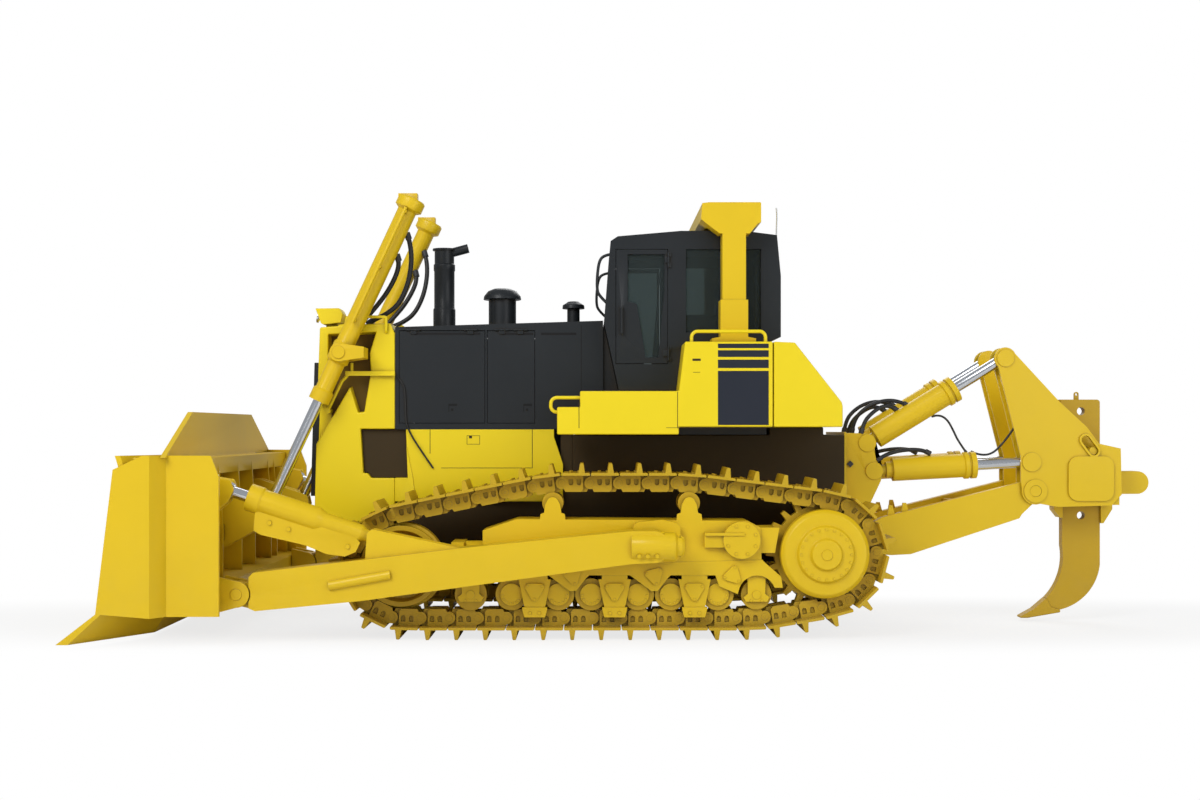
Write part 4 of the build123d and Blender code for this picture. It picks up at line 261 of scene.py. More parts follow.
# %% Group: worn edges
wear, ins, outs = new_group("worn_edges",
                            [("Color", COLOUR, (1, 1, 1, 1)), ("Bare Color", COLOUR, (0.3, 0.3, 0.3, 1)),
                                           ("Amount", FLOAT, 0.5), ("Radius", FLOAT, 0.01)],
                            [("Color", COLOUR), ("Mask", FLOAT)])
rounded = add_node(wear, "ShaderNodeBevel", {"Radius": ins.outputs["Radius"]}, samples=4)
facing = add_node(wear, "ShaderNodeNewGeometry")
agree = add_node(wear, "ShaderNodeVectorMath", {0: rounded.outputs[0], 1: facing.outputs["Normal"]},
                 operation="DOT_PRODUCT")
edge = add_node(wear, "ShaderNodeMapRange",
                {"Value": agree.outputs["Value"], "From Min": 0.98, "From Max": 0.85,
                                             "To Min": 0.0, "To Max": 1.0})
place = add_node(wear, "ShaderNodeTexCoord")
chips = add_node(wear, "ShaderNodeTexNoise", {"Vector": place.outputs["Object"], "Scale": 14.0, "Detail": 8.0,
                                              "Roughness": 0.7})
broken = add_node(wear, "ShaderNodeMapRange",
                  {"Value": chips.outputs["Fac"], "From Min": 0.5, "From Max": 0.66})
worn = add_node(wear, "ShaderNodeMath", {0: edge.outputs[0], 1: broken.outputs[0]}, operation="MULTIPLY")
mask = add_node(wear, "ShaderNodeMath", {0: worn.outputs[0], 1: ins.outputs["Amount"]}, operation="MULTIPLY")
bared = add_node(wear, "ShaderNodeMix", {"Factor": mask.outputs[0]}, data_type="RGBA")
wear.links.new(ins.outputs["Color"], bared.inputs[6])
wear.links.new(ins.outputs["Bare Color"], bared.inputs[7])
wear.links.new(bared.outputs[2], outs.inputs["Color"])
wear.links.new(mask.outputs[0], outs.inputs["Mask"])
print("group", wear.name)

# %% Group: painted shade in the corners
corner_shade, ins, outs = new_group("painted_corner_shade",
                             [("Color", COLOUR, (1, 1, 1, 1)),
                              ("Shade Color", COLOUR, (0.05, 0.03, 0.008, 1)),
                                              ("Amount", FLOAT, 0.7), ("Reach", FLOAT, 0.12)],
                             [("Color", COLOUR), ("Mask", FLOAT)])
# Painted shade: ambient occlusion darkens corners, creases and gaps towards a dark brown, in uneven patches.
shelter = add_node(corner_shade, "ShaderNodeAmbientOcclusion", {"Distance": ins.outputs["Reach"]}, samples=6)
closed = add_node(corner_shade, "ShaderNodeMapRange",
                  {"Value": shelter.outputs["AO"], "From Min": 0.85, "From Max": 0.25,
                                                "To Min": 0.0, "To Max": 1.0})
place = add_node(corner_shade, "ShaderNodeTexCoord")
blots = add_node(corner_shade, "ShaderNodeTexNoise",
                 {"Vector": place.outputs["Object"], "Scale": 6.0, "Detail": 5.0})
uneven = add_node(corner_shade, "ShaderNodeMapRange",
                  {"Value": blots.outputs["Fac"], "From Min": 0.3, "From Max": 0.65,
                                                "To Min": 0.55, "To Max": 1.0})
patchy_shade = add_node(corner_shade, "ShaderNodeMath", {0: closed.outputs[0], 1: uneven.outputs[0]},
                   operation="MULTIPLY")
mask = add_node(corner_shade, "ShaderNodeMath", {0: patchy_shade.outputs[0], 1: ins.outputs["Amount"]},
                operation="MULTIPLY")
darkened = add_node(corner_shade, "ShaderNodeMix", {"Factor": mask.outputs[0]}, data_type="RGBA")
corner_shade.links.new(ins.outputs["Color"], darkened.inputs[6])
corner_shade.links.new(ins.outputs["Shade Color"], darkened.inputs[7])
corner_shade.links.new(darkened.outputs[2], outs.inputs["Color"])
corner_shade.links.new(mask.outputs[0], outs.inputs["Mask"])
print("group", corner_shade.name)

# %% Group: fine relief
relief, ins, outs = new_group("fine_relief", [("Fine Scale", FLOAT, 160.0), ("Coarse Scale", FLOAT, 9.0),
                                              ("Coarse Share", FLOAT, 0.3)], [("Height", FLOAT)])
place = add_node(relief, "ShaderNodeTexCoord")
fine = add_node(relief, "ShaderNodeTexNoise",
                {"Vector": place.outputs["Object"], "Scale": ins.outputs["Fine Scale"],
                                               "Detail": 2.0})
coarse = add_node(relief, "ShaderNodeTexNoise", {"Vector": place.outputs["Object"],
                                                 "Scale": ins.outputs["Coarse Scale"], "Detail": 3.0})
total = add_node(relief, "ShaderNodeMath", {0: coarse.outputs["Fac"], 1: ins.outputs["Coarse Share"],
                                            2: fine.outputs["Fac"]}, operation="MULTIPLY_ADD")
relief.links.new(total.outputs[0], outs.inputs["Height"])
print("group", relief.name)

# %% Painted and metal finishes
def new_material(name):
    """An empty material with a Principled shader, its tree, and the shader."""
    material = bpy.data.materials.new(name)
    material.use_nodes = True
    tree = material.node_tree
    tree.nodes.clear()
    shader = add_node(tree, "ShaderNodeBsdfPrincipled")
    add_node(tree, "ShaderNodeOutputMaterial", {"Surface": shader.outputs[0]})
    return material, tree, shader


def bump_from(tree, shader, height, distance, strength=0.5):
    """Feeds a height into the shader's normal."""
    bump = add_node(tree, "ShaderNodeBump", {"Height": height, "Distance": distance, "Strength": strength})
    tree.links.new(bump.outputs[0], shader.inputs["Normal"])


def painted(name, colour, roughness, coat, dust_amount=0.3, dust_height=1.2, wear_amount=0.3,
            bare=(0.25, 0.24, 0.23, 1), spread=0.08, metallic=0.0, corner_shade_amount=0.6):
    """Sprayed paint: colour drift, then dust low down, then painted shade in the corners, then bare metal on
    the sharpest edges.
    """
    material, tree, shader = new_material(name)
    drifted = place_group(tree, drift, {"Color": (*colour, 1), "Spread": spread, "Scale": 1.3,
                                        "Roughness": roughness, "Roughness Spread": 0.12})
    dusted = place_group(tree, dust, {"Color": drifted.outputs["Color"], "Amount": dust_amount,
                                      "Height": dust_height})
    # painted shade in the corners and creases
    corner_shaded = place_group(tree, corner_shade, {"Color": dusted.outputs["Color"], "Amount": corner_shade_amount})
    edged = place_group(tree, wear,
                        {"Color": corner_shaded.outputs["Color"], "Amount": wear_amount, "Radius": 0.008,
                                     "Bare Color": bare})
    grain = place_group(tree, relief, {"Fine Scale": 120.0, "Coarse Scale": 7.0, "Coarse Share": 0.5})
    tree.links.new(edged.outputs["Color"], shader.inputs["Base Color"])
    tree.links.new(drifted.outputs["Roughness"], shader.inputs["Roughness"])
    shader.inputs["Coat Weight"].default_value = coat
    shader.inputs["Coat Roughness"].default_value = 0.15
    shader.inputs["Specular IOR Level"].default_value = 0.3
    shader.inputs["Metallic"].default_value = metallic
    bump_from(tree, shader, grain.outputs["Height"], 0.0006)
    return material


PANEL_YELLOW = (0.91, 0.70, 0.008)
# The work, track and shank yellows are darker copies of the one panel yellow: painted shade on the working
# gear, the undercarriage and the ripper shank.
WORK_YELLOW_SHADED = (0.80, 0.54, 0.007)
TRACK_YELLOW_SHADED = (0.58, 0.375, 0.010)
SHANK_YELLOW_SHADED = (0.56, 0.35, 0.010)
CHARCOAL = (0.014, 0.017, 0.020)
finishes = {
    "yellow_paint": painted("yellow_panel_paint", PANEL_YELLOW, 0.42, 0.18, dust_amount=0.1, wear_amount=0.12,
                            spread=0.05),
    "work_paint": painted("shaded_yellow_work_paint", WORK_YELLOW_SHADED, 0.45, 0.15, dust_amount=0.22, wear_amount=0.25,
                          spread=0.12),
    "track_paint": painted("shaded_yellow_track_paint", TRACK_YELLOW_SHADED, 0.5, 0.08, dust_amount=0.35, wear_amount=0.5,
                           spread=0.22),
    "shank_paint": painted("shaded_yellow_shank_paint", SHANK_YELLOW_SHADED, 0.5, 0.08, dust_amount=0.3, wear_amount=0.5,
                           spread=0.2),
    "charcoal_paint": painted("charcoal_cab_paint", CHARCOAL, 0.42, 0.06, dust_amount=0.03, wear_amount=0.08,
                              spread=0.3),
    # hull_paint is a very dark copy of the yellow: painted shade on the hull, its bulkhead and the nose's
    # pockets, and also the colour of the dark seams.
    "hull_paint": painted("hull_shade_and_seam_paint", (0.045, 0.028, 0.008), 0.7, 0.0, dust_amount=0.2,
                          wear_amount=0.1,
                          spread=0.4),
    # shadow_paint is black painted shade for the grooves, the latch slots, the link windows and the pin ends.
    "shadow_paint": painted("black_painted_shade", (0.003, 0.003, 0.004), 0.6, 0.0, dust_amount=0.0,
                            wear_amount=0.0),
    "bay_paint": painted("shaded_bay_paint", (0.16, 0.095, 0.006), 0.6, 0.0, dust_amount=0.2, wear_amount=0.1,
                         spread=0.4),
    "stripe_paint": painted("dark_stripe_paint", (0.016, 0.02, 0.032), 0.4, 0.1, dust_amount=0.0,
                            wear_amount=0.0,
                            spread=0.1),
}
print("painted finishes:", ", ".join(finishes))


# %% [markdown]
# Not everything is painted. The cylinder rods are hard chrome, the engine is dark cast
# iron, the hoses are black rubber, the seat is cloth, and the cab has tinted glass. Each is
# a short material of its own.

# %% Chrome, iron, rubber, cloth and glass
def chrome_finish():
    """Hard chrome with the faint rings that grinding leaves."""
    material, tree, shader = new_material("hard_chrome")
    shader.inputs["Base Color"].default_value = (0.72, 0.74, 0.77, 1)
    shader.inputs["Metallic"].default_value = 1.0
    drifted = place_group(tree, drift, {"Scale": 6.0, "Roughness": 0.16, "Roughness Spread": 0.1})
    tree.links.new(drifted.outputs["Roughness"], shader.inputs["Roughness"])
    return material


def iron_finish():
    """Rough dark casting."""
    material, tree, shader = new_material("cast_iron")
    drifted = place_group(tree, drift, {"Color": (0.06, 0.06, 0.065, 1), "Spread": 0.5, "Scale": 4.0,
                                        "Roughness": 0.6, "Roughness Spread": 0.2})
    tree.links.new(drifted.outputs["Color"], shader.inputs["Base Color"])
    tree.links.new(drifted.outputs["Roughness"], shader.inputs["Roughness"])
    shader.inputs["Metallic"].default_value = 0.6
    grain = place_group(tree, relief, {"Fine Scale": 60.0, "Coarse Scale": 12.0, "Coarse Share": 1.0})
    bump_from(tree, shader, grain.outputs["Height"], 0.002)
    return material


def rubber_finish(name, colour, roughness):
    """Matt rubber or moulded plastic with a fine grain."""
    material, tree, shader = new_material(name)
    drifted = place_group(tree, drift, {"Color": (*colour, 1), "Spread": 0.4, "Scale": 9.0,
                                        "Roughness": roughness, "Roughness Spread": 0.15})
    tree.links.new(drifted.outputs["Color"], shader.inputs["Base Color"])
    tree.links.new(drifted.outputs["Roughness"], shader.inputs["Roughness"])
    grain = place_group(tree, relief, {"Fine Scale": 400.0, "Coarse Scale": 30.0, "Coarse Share": 0.3})
    bump_from(tree, shader, grain.outputs["Height"], 0.0004)
    return material


def cloth_finish():
    """Dark seat cloth with a woven grain."""
    material, tree, shader = new_material("woven_seat_cloth")
    place = add_node(tree, "ShaderNodeTexCoord")
    along = add_node(tree, "ShaderNodeTexWave", {"Vector": place.outputs["Object"], "Scale": 90.0},
                     bands_direction="Y")
    across = add_node(tree, "ShaderNodeTexWave", {"Vector": place.outputs["Object"], "Scale": 90.0},
                      bands_direction="Z")
    weave = add_node(tree, "ShaderNodeMath", {0: along.outputs["Fac"], 1: across.outputs["Fac"]},
                     operation="MAXIMUM")
    drifted = place_group(tree, drift, {"Color": (0.035, 0.035, 0.04, 1), "Spread": 0.4, "Scale": 5.0,
                                        "Roughness": 0.85, "Roughness Spread": 0.1})
    tree.links.new(drifted.outputs["Color"], shader.inputs["Base Color"])
    tree.links.new(drifted.outputs["Roughness"], shader.inputs["Roughness"])
    bump_from(tree, shader, weave.outputs[0], 0.001)
    return material


def glass_finish():
    """Tinted safety glass, thin enough to be see-through from both sides."""
    material, tree, shader = new_material("tinted_cab_glass")
    shader.inputs["Base Color"].default_value = (0.16, 0.2, 0.2, 1)
    shader.inputs["Roughness"].default_value = 0.04
    shader.inputs["Transmission Weight"].default_value = 0.85
    shader.inputs["IOR"].default_value = 1.1
    return material


finishes["chrome"] = chrome_finish()
finishes["engine_iron"] = iron_finish()
finishes["hose_rubber"] = rubber_finish("hose_rubber", (0.012, 0.012, 0.013), 0.5)
finishes["seat_fabric"] = cloth_finish()
finishes["glass"] = glass_finish()
print("all finishes:", ", ".join(sorted(finishes)))


# %% [markdown]
# ## Rounded edges
# A plate cut from steel never has a perfectly sharp edge, and a casting has a generous
# radius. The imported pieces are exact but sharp, and their round faces are flat facets. So
# each one is copied, its doubled points are merged, its flat triangles are dissolved into
# whole faces, a narrow bevel is put on every sharp edge and the round faces are shaded
# smooth. The copy then stands for the node.

# %% Rounded copies of the frame's pieces
SMOOTH_ANGLE = radians(32)
FLAT_ANGLE = radians(0.6)
MERGE_DISTANCE = 0.00002
BEVEL_SEGMENTS = 2


def shade(mesh):
    """Smooth shading that stops at every sharp edge."""
    mesh.shade_smooth()
    mesh.set_sharp_from_angle(angle=SMOOTH_ANGLE)


def place_piece(name, mesh, finish, body):
    """Links a finished mesh to the scene, on the body that it moves with."""
    piece = bpy.data.objects.new(name, mesh)
    bpy.context.scene.collection.objects.link(piece)
    mesh.materials.clear()
    mesh.materials.append(finishes[finish])
    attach(piece, body)
    return piece


def add_bevel(piece, width):
    """A narrow rounding on the sharp edges."""
    bevel = piece.modifiers.new("rounded_edges", "BEVEL")
    bevel.width = width
    bevel.segments = BEVEL_SEGMENTS
    bevel.limit_method = "ANGLE"
    bevel.angle_limit = SMOOTH_ANGLE
    bevel.harden_normals = True
    bevel.use_clamp_overlap = True


def rounded_copy(node, width, finish=None):
    """A merged copy of one node with rounded edges, which stands for it."""
    shape = bmesh.new()
    shape.from_mesh(nodes[node].data)
    bmesh.ops.remove_doubles(shape, verts=shape.verts, dist=MERGE_DISTANCE)
    bmesh.ops.dissolve_limit(shape, angle_limit=FLAT_ANGLE, verts=shape.verts, edges=shape.edges)
    mesh = bpy.data.meshes.new(f"{node}_dressed")
    shape.to_mesh(mesh)
    shape.free()
    shade(mesh)
    piece = place_piece(f"{node}_dressed", mesh, finish or slot_of_node[node], body_of_node[node])
    if width:
        add_bevel(piece, width)
    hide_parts(node)


# %% Which pieces are rounded, and by how much
# node, bevel width in metres
ROUNDED = (
    ("main_frame", 0.012), ("radiator_guard", 0.014), ("front_grille", 0.004), ("lift_yokes", 0.01),
    ("engine_hood", 0.008), ("lower_side_covers", 0.008), ("exhaust_stack", 0.004), ("air_precleaner", 0.006),
    ("breather", 0.005), ("track_frames", 0.01), ("idlers", 0.006), ("sprockets", 0.006),
    ("final_drives", 0.008),
    ("track_rollers", 0.005), ("carrier_rollers", 0.005), ("bogies", 0.008), ("fenders", 0.014),
    ("rear_fuel_tank", 0.014), ("cab_platform", 0.01), ("cab_shell", 0.012), ("operator_seat", 0.03),
    ("rops", 0.014), ("handrails", 0), ("head_lamps", 0.008), ("ripper_bracket", 0.008),
    ("push_arms", 0.01), ("moldboard", 0.006), ("cutting_edge", 0.006), ("blade_brackets", 0.008),
    ("lift_barrels", 0.005), ("lift_rods", 0.003), ("tilt_barrels", 0.005), ("tilt_rods", 0.003),
    ("ripper_arms", 0.01), ("ripper_carrier_pins", 0.004), ("ripper_carrier", 0.01), ("ripper_shank", 0.01),
    ("ripper_tooth", 0.008), ("ripper_tilt_barrels", 0.005), ("ripper_tilt_rods", 0.003),
    ("ripper_lift_barrels", 0.005), ("ripper_lift_rods", 0.003), ("cab_door_right", 0.006),
    ("cab_door_left", 0.006), ("engine_door_front_right", 0.006), ("engine_door_front_left", 0.006),
    ("engine_door_rear_right", 0.006), ("engine_door_rear_left", 0.006),
)
# The hull takes hull_paint, its yellow painted in deep shade.
FINISH_OF = {"main_frame": "hull_paint"}
# The undercarriage, the ripper shank and the working gear take the darker yellows, which paint their shade.
for node in ("idlers", "sprockets", "track_rollers", "carrier_rollers"):
    FINISH_OF[node] = "track_paint"
for node in ("ripper_shank", "ripper_tooth"):
    FINISH_OF[node] = "shank_paint"
for node in ("bogies", "track_frames", "push_arms", "moldboard", "cutting_edge", "blade_brackets",
             "final_drives",
             "lift_barrels", "tilt_barrels", "lift_yokes", "ripper_arms", "ripper_carrier",
             "ripper_carrier_pins",
             "ripper_bracket", "ripper_tilt_barrels", "ripper_lift_barrels", "rops"):
    FINISH_OF[node] = "work_paint"
for node, width in ROUNDED:
    rounded_copy(node, width, FINISH_OF.get(node))
for node in ("engine_block", "cab_glass", "cab_door_glass_right", "cab_door_glass_left"):
    nodes[node].data.materials.clear()
    nodes[node].data.materials.append(finishes[slot_of_node[node]])
print(len(ROUNDED) + 1, "pieces rounded")

# %% [markdown]
# ## Tracks
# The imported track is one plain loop. The real one is a chain: each link has a round boss
# at its leading pin, two arched windows for the nuts of the shoe bolts, and a shoe with one
# tall grouser on its outside. One link is modelled flat, from its pin to the next, and the
# chain is that link set down between each pair of pins. The pins are found on the loaded
# track itself, as the middles of its bushings, so the chain follows it exactly.

# %% Pins of the chain
TRACK_Y = 1.25
LINK_PITCH = 0.280
BUSHING = 0.044


def pins_of_the_track():
    """The chain's pins as (X, Z): the middles of the six-sided bushings between the link rails."""
    mesh = nodes["tracks"].data
    corners = set()
    for edge in mesh.edges:
        first, second = (mesh.vertices[index].co for index in edge.vertices)
        run = first - second
        if abs(run.x) + abs(run.z) < 0.0005 and 0.15 < abs(run.y) < 0.19 and first.y > 0:
            corners.add((first.x, first.z))
    corners = [Vector(corner) for corner in corners]
    found = []
    for corner in corners:
        pin = corner - Vector((BUSHING, 0))
        others = [pin + Vector((BUSHING * cos(step * pi / 3),
                                BUSHING * sin(step * pi / 3))) for step in range(6)]
        met = sum(any((other - known).length < 0.0015 for known in corners) for other in others)
        if met >= 5 and all((pin - known).length > 0.1 for known in found):
            found.append(pin)
    return found


def walk(pins):
    """The pins in the order of the chain, round by the top towards the front."""
    start = max(pins, key=lambda pin: pin.y)
    order, left = [start], [pin for pin in pins if pin is not start]
    forward = [pin for pin in left if pin.x < start.x]
    order.append(min(forward, key=lambda pin: (pin - start).length))
    left.remove(order[-1])
    while left:
        order.append(min(left, key=lambda pin: (pin - order[-1]).length))
        left.remove(order[-1])
    return order


pins = walk(pins_of_the_track())
steps = [(pins[index] - pins[index - 1]).length for index in range(len(pins))]
print(len(pins), "pins, steps from", round(min(steps), 4), "to", round(max(steps), 4))


# %% Solids from outlines
def plate(shape, outline, low, high, holes=(), paint=0):
    """An (X, Z) outline, with or without holes, made thick along Y from low to high."""
    bottom, edges, pairs = [], [], {}
    for loop in (outline, *holes):
        under = [shape.verts.new((x, low, z)) for x, z in loop]
        over = [shape.verts.new((x, high, z)) for x, z in loop]
        pairs.update(zip(under, over))
        for index in range(len(loop)):
            after = (index + 1) % len(loop)
            side = shape.faces.new((under[index], under[after], over[after], over[index]))
            side.material_index = paint
            edges.append(shape.edges.get((under[index], under[after])))
        bottom.append(under)
    if holes:
        made = bmesh.ops.triangle_fill(shape, use_beauty=True, edges=edges)
        faces = [item for item in made["geom"] if isinstance(item, bmesh.types.BMFace)]
    else:
        faces = [shape.faces.new(bottom[0])]
    for face in faces:
        face.material_index = paint
        lid = shape.faces.new([pairs[vertex] for vertex in face.verts])
        lid.material_index = paint
    return shape


def finished_mesh(shape, name):
    """The shape as a mesh with its normals outwards and its round faces smooth."""
    bmesh.ops.recalc_face_normals(shape, faces=shape.faces)
    mesh = bpy.data.meshes.new(name)
    shape.to_mesh(mesh)
    shape.free()
    shade(mesh)
    return mesh


def place_shape(name, shape, finish, body):
    """Finishes a shape and links it to the scene."""
    return place_piece(name, finished_mesh(shape, name), finish, body)


def plates_on_both_sides(shape, outline, near, far):
    """The same plate on the left and on the right, from near to far off the middle."""
    for side in (-1, 1):
        plate(shape, outline, *sorted((side * near, side * far)))


def arc(x, z, radius, start, end, count):
    """Points on an arc, with its angles in degrees."""
    turns = [radians(start + (end - start) * index / (count - 1)) for index in range(count)]
    return [(x + radius * cos(turn), z + radius * sin(turn)) for turn in turns]


def add_round(shape, place, direction, radius, length, sides, paint=0, tip=1.0):
    """A round or hexagonal stud that stands on a place and points in a direction."""
    matrix = Matrix.Translation(Vector(place) + Vector(direction).normalized() * length / 2)
    matrix @= Vector(direction).to_track_quat("Z", "Y").to_matrix().to_4x4()
    made = bmesh.ops.create_cone(shape, cap_ends=True, segments=sides, radius1=radius, radius2=radius * tip,
                                 depth=length, matrix=matrix)
    for vertex in made["verts"]:
        for face in vertex.link_faces:
            face.material_index = paint


print("outline tools ready")

# %% [markdown]
# A link's outer plate runs from its boss back over the windows, and its inner plate from
# the windows to the pin before, where it passes inside the next link's boss. The nuts in
# the windows are black, as painted shade, and so is a small disc on each pin's end. The
# shoe is a plate with a lip at each end and the grouser near its leading edge, and four
# bolts hold it.

# %% One link, laid flat
PIN_OUT, SHOE_IN, SHOE_OUT = 0.060, 0.076, 0.102
CROWN = 0.195
RAIL_IN, RAIL_OUT = 0.085, 0.147
SHOE_HALF = 0.305


def window(middle):
    """An arched window in a link plate, with its flat side to the shoe."""
    return [(middle + 0.022, 0.038), *arc(middle, 0.0, 0.022, 0, -180, 9), (middle - 0.022, 0.038)]


def link_shape():
    """One shoe with its two link plates, pins, bushing and bolts."""
    shape = bmesh.new()
    grouser = LINK_PITCH * 0.30
    shoe = [(0.004, SHOE_IN), (0.004, SHOE_OUT - 0.008), (0.012, SHOE_OUT), (grouser - 0.031, SHOE_OUT),
            (grouser - 0.017, CROWN - 0.006), (grouser - 0.011, CROWN), (grouser + 0.011, CROWN),
            (grouser + 0.017, CROWN - 0.006), (grouser + 0.031, SHOE_OUT), (LINK_PITCH - 0.014, SHOE_OUT),
            (LINK_PITCH - 0.005, SHOE_OUT - 0.010), (LINK_PITCH - 0.005, SHOE_IN)]
    plate(shape, shoe, -SHOE_HALF, SHOE_HALF)
    outer = [(0.070, SHOE_IN), (0.070, -0.060), (0.092, -0.086), (LINK_PITCH - 0.035, -0.086),
             *arc(LINK_PITCH, 0, PIN_OUT, -110, 75, 14), (LINK_PITCH - 0.02, SHOE_IN)]
    inner = [(LINK_PITCH - 0.082, SHOE_IN), (0.02, SHOE_IN), *arc(0, 0, PIN_OUT - 0.004, 105, 290, 12),
             (0.035, -0.086), (LINK_PITCH - 0.100, -0.086), (LINK_PITCH - 0.082, -0.060)]
    middle_of_rail = (RAIL_IN + RAIL_OUT) / 2
    for side in (-1, 1):
        outside = sorted((side * (middle_of_rail + 0.001), side * RAIL_OUT))
        inside = sorted((side * RAIL_IN, side * (middle_of_rail - 0.001)))
        plate(shape, outer, *outside, holes=[window(0.112), window(0.190)])
        plate(shape, inner, *inside)
        # The nuts in the windows take the second slot: black painted shade.
        nut = side * (middle_of_rail - 0.001)
        for place in (0.112, 0.190):
            plate(shape, [(place - 0.021, -0.020), (place + 0.021, -0.020), (place + 0.021, 0.037),
                          (place - 0.021, 0.037)],
                  *sorted((nut, nut + side * 0.010)), paint=1)
            add_round(shape, (place, side * 0.116, SHOE_OUT), (0, 0, 1), 0.019, 0.015, 6)
        add_round(shape, (LINK_PITCH, side * RAIL_OUT, 0), (0, side, 0), 0.033, 0.004, 16)
        # A black disc on the pin's end: painted shade of its bore.
        add_round(shape, (LINK_PITCH, side * (RAIL_OUT + 0.004), 0), (0, side, 0), 0.012, 0.002, 8, paint=1)
    add_round(shape, (LINK_PITCH, -RAIL_IN, 0), (0, 1, 0), 0.044, 2 * RAIL_IN, 12)
    return shape


link_mesh = finished_mesh(link_shape(), "one_link")
print("one link:", len(link_mesh.polygons), "faces")

# %% The two chains
chains = bmesh.new()
for side in (-1, 1):
    for index, pin in enumerate(pins):
        ahead = pins[(index + 1) % len(pins)]
        along = Vector((ahead.x - pin.x, 0, ahead.y - pin.y)).normalized()
        outward = Vector((along.z, 0, -along.x))
        across = outward.cross(along)
        matrix = Matrix((along, across, outward)).transposed().to_4x4()
        matrix.translation = (pin.x, side * TRACK_Y, pin.y)
        known = len(chains.verts)
        chains.from_mesh(link_mesh)
        chains.verts.ensure_lookup_table()
        bmesh.ops.transform(chains, matrix=matrix, verts=chains.verts[known:])
chains_mesh = finished_mesh(chains, "track_chains")
chain_piece = place_piece("track_chains", chains_mesh, "track_paint", "tractor")
# Second slot: black painted shade for the nuts and the pin ends.
chains_mesh.materials.append(finishes["shadow_paint"])
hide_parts("tracks")
print("chains:", len(chains_mesh.polygons), "faces")

# %% [markdown]
# ## Bolts
# Every cover on the undercarriage is held by a few big bolts, and the final drive by a ring
# of them. A hexagonal head is six faces round a lid, so hundreds of them cost little. They
# are listed by the face that they stand on, and each body gets one piece with its own.

# %% Bolts on the undercarriage
# middle of the ring as (X, Z), its radius, count, first angle, sweep, Y of the face, head size
BOLT_RINGS = [((0.948, 0.966), 0.143, 8, 22, 360, 1.570, 0.016),
              ((1.760, 0.828), 0.243, 20, 0, 360, 1.600, 0.013)]
for x in (-1.055, -0.279, 0.497):
    BOLT_RINGS.append(((x, 0.473), 0.085, 3, -90, 360, 1.502, 0.013))
    BOLT_RINGS.append(((x - 0.228, 0.428), 0.086, 6, -175, 135, 1.442, 0.012))
    BOLT_RINGS.append(((x + 0.228, 0.428), 0.086, 6, -140, 135, 1.442, 0.012))
    BOLT_RINGS.append(((x, 0.255), 0.045, 2, 0, 360, 1.491, 0.018))
for x in (-0.683, 0.109):
    BOLT_RINGS.append(((x - 0.002, 0.618), 0.080, 3, -76, 360, 1.512, 0.013))
BOLT_RINGS.append(((0.866, 0.622), 0.080, 3, -45, 360, 1.512, 0.013))
for x in (-1.680, 1.101):
    BOLT_RINGS.append(((x, 0.372), 0.052, 2, 0, 360, 1.454, 0.014))
heads = bmesh.new()
for (x, z), radius, count, first, sweep, y, size in BOLT_RINGS:
    for index in range(count):
        turn = radians(first + sweep * index / (count if sweep == 360 else count - 1))
        for side in (-1, 1):
            place = (x + radius * cos(turn), side * (y - 0.001), z + radius * sin(turn))
            add_round(heads, place, (0, side, 0), size, size * 0.8, 6, tip=0.92)
for side in (-1, 1):
    add_round(heads, (1.760, side * 1.639, 0.828), (0, side, 0), 0.055, 0.012, 24, tip=0.9)
place_shape("undercarriage_bolts", heads, "work_paint", "tractor")
print("bolt rings:", len(BOLT_RINGS), "on each side")

# %% Bolts on the push arms and the cylinders
arm_heads = bmesh.new()
for side in (-1, 1):
    for x in (-0.075, 0.005, 0.085, 0.165):
        add_round(arm_heads, (x, side * 1.868, 1.035), (0, side * 0.45, 0.9), 0.019, 0.03, 6)
    for x in (-0.055, 0.025, 0.115):
        add_round(arm_heads, (x, side * 1.935, 0.848), (0, side, -0.35), 0.022, 0.02, 6)
    for x in (0.325, 0.345):
        for z in (0.85, 1.0):
            add_round(arm_heads, (x, side * 1.82, z), (0, side, 0), 0.028, 0.05, 6)
place_shape("push_arm_bolts", arm_heads, "work_paint", "push_arms")
print("push arm bolts placed")

# %% [markdown]
# ## Stripes, seams and small fittings
# The dark stripes and the bare dark panel on the tank box are paint, so they are sheets a
# millimetre thick on its face. A seam between two covers is a narrow dark strip of the same
# thickness. Latches are a slot and a round lock. The grooves pressed into the hood and the
# engine doors, a seam line on the hood and the door latches are black sheets of painted
# shade. Each of them lies on both sides.

# %% Stripes, seams and latches on the bodywork
def lay_strips(name, finish, body, rows, sides=(-1, 1)):
    """Thin sheets on faces that look sideways: (X from, X to, Z from, Z to, Y of the face)."""
    shape = bmesh.new()
    for low_x, high_x, low_z, high_z, y in rows:
        for side in sides:
            plate(shape, [(low_x, low_z), (high_x, low_z), (high_x, high_z), (low_x, high_z)],
                  *sorted((side * (y - 0.002), side * (y + 0.0012))))
    return place_shape(name, shape, finish, body)


BOX_FACE, HOOD_FACE = 1.500, 0.700
lay_strips("box_stripes", "stripe_paint", "tractor", (
    (0.722, 1.214, 2.824, 2.867, BOX_FACE), (0.722, 1.214, 2.738, 2.803, BOX_FACE),
    (0.722, 1.214, 2.631, 2.712, BOX_FACE), (0.722, 1.214, 2.081, 2.603, BOX_FACE)))
lay_strips("box_seams", "hull_paint", "tractor", (
    (0.328, 0.334, 2.048, 2.400, BOX_FACE), (-0.628, -0.622, 2.048, 2.300, BOX_FACE),
    (0.475, 0.555, 2.700, 2.722, BOX_FACE), (0.480, 0.550, 2.588, 2.592, BOX_FACE),
    (0.722, 1.214, 2.078, 2.081, BOX_FACE), (0.22, 1.26, 2.050, 2.054, BOX_FACE)))
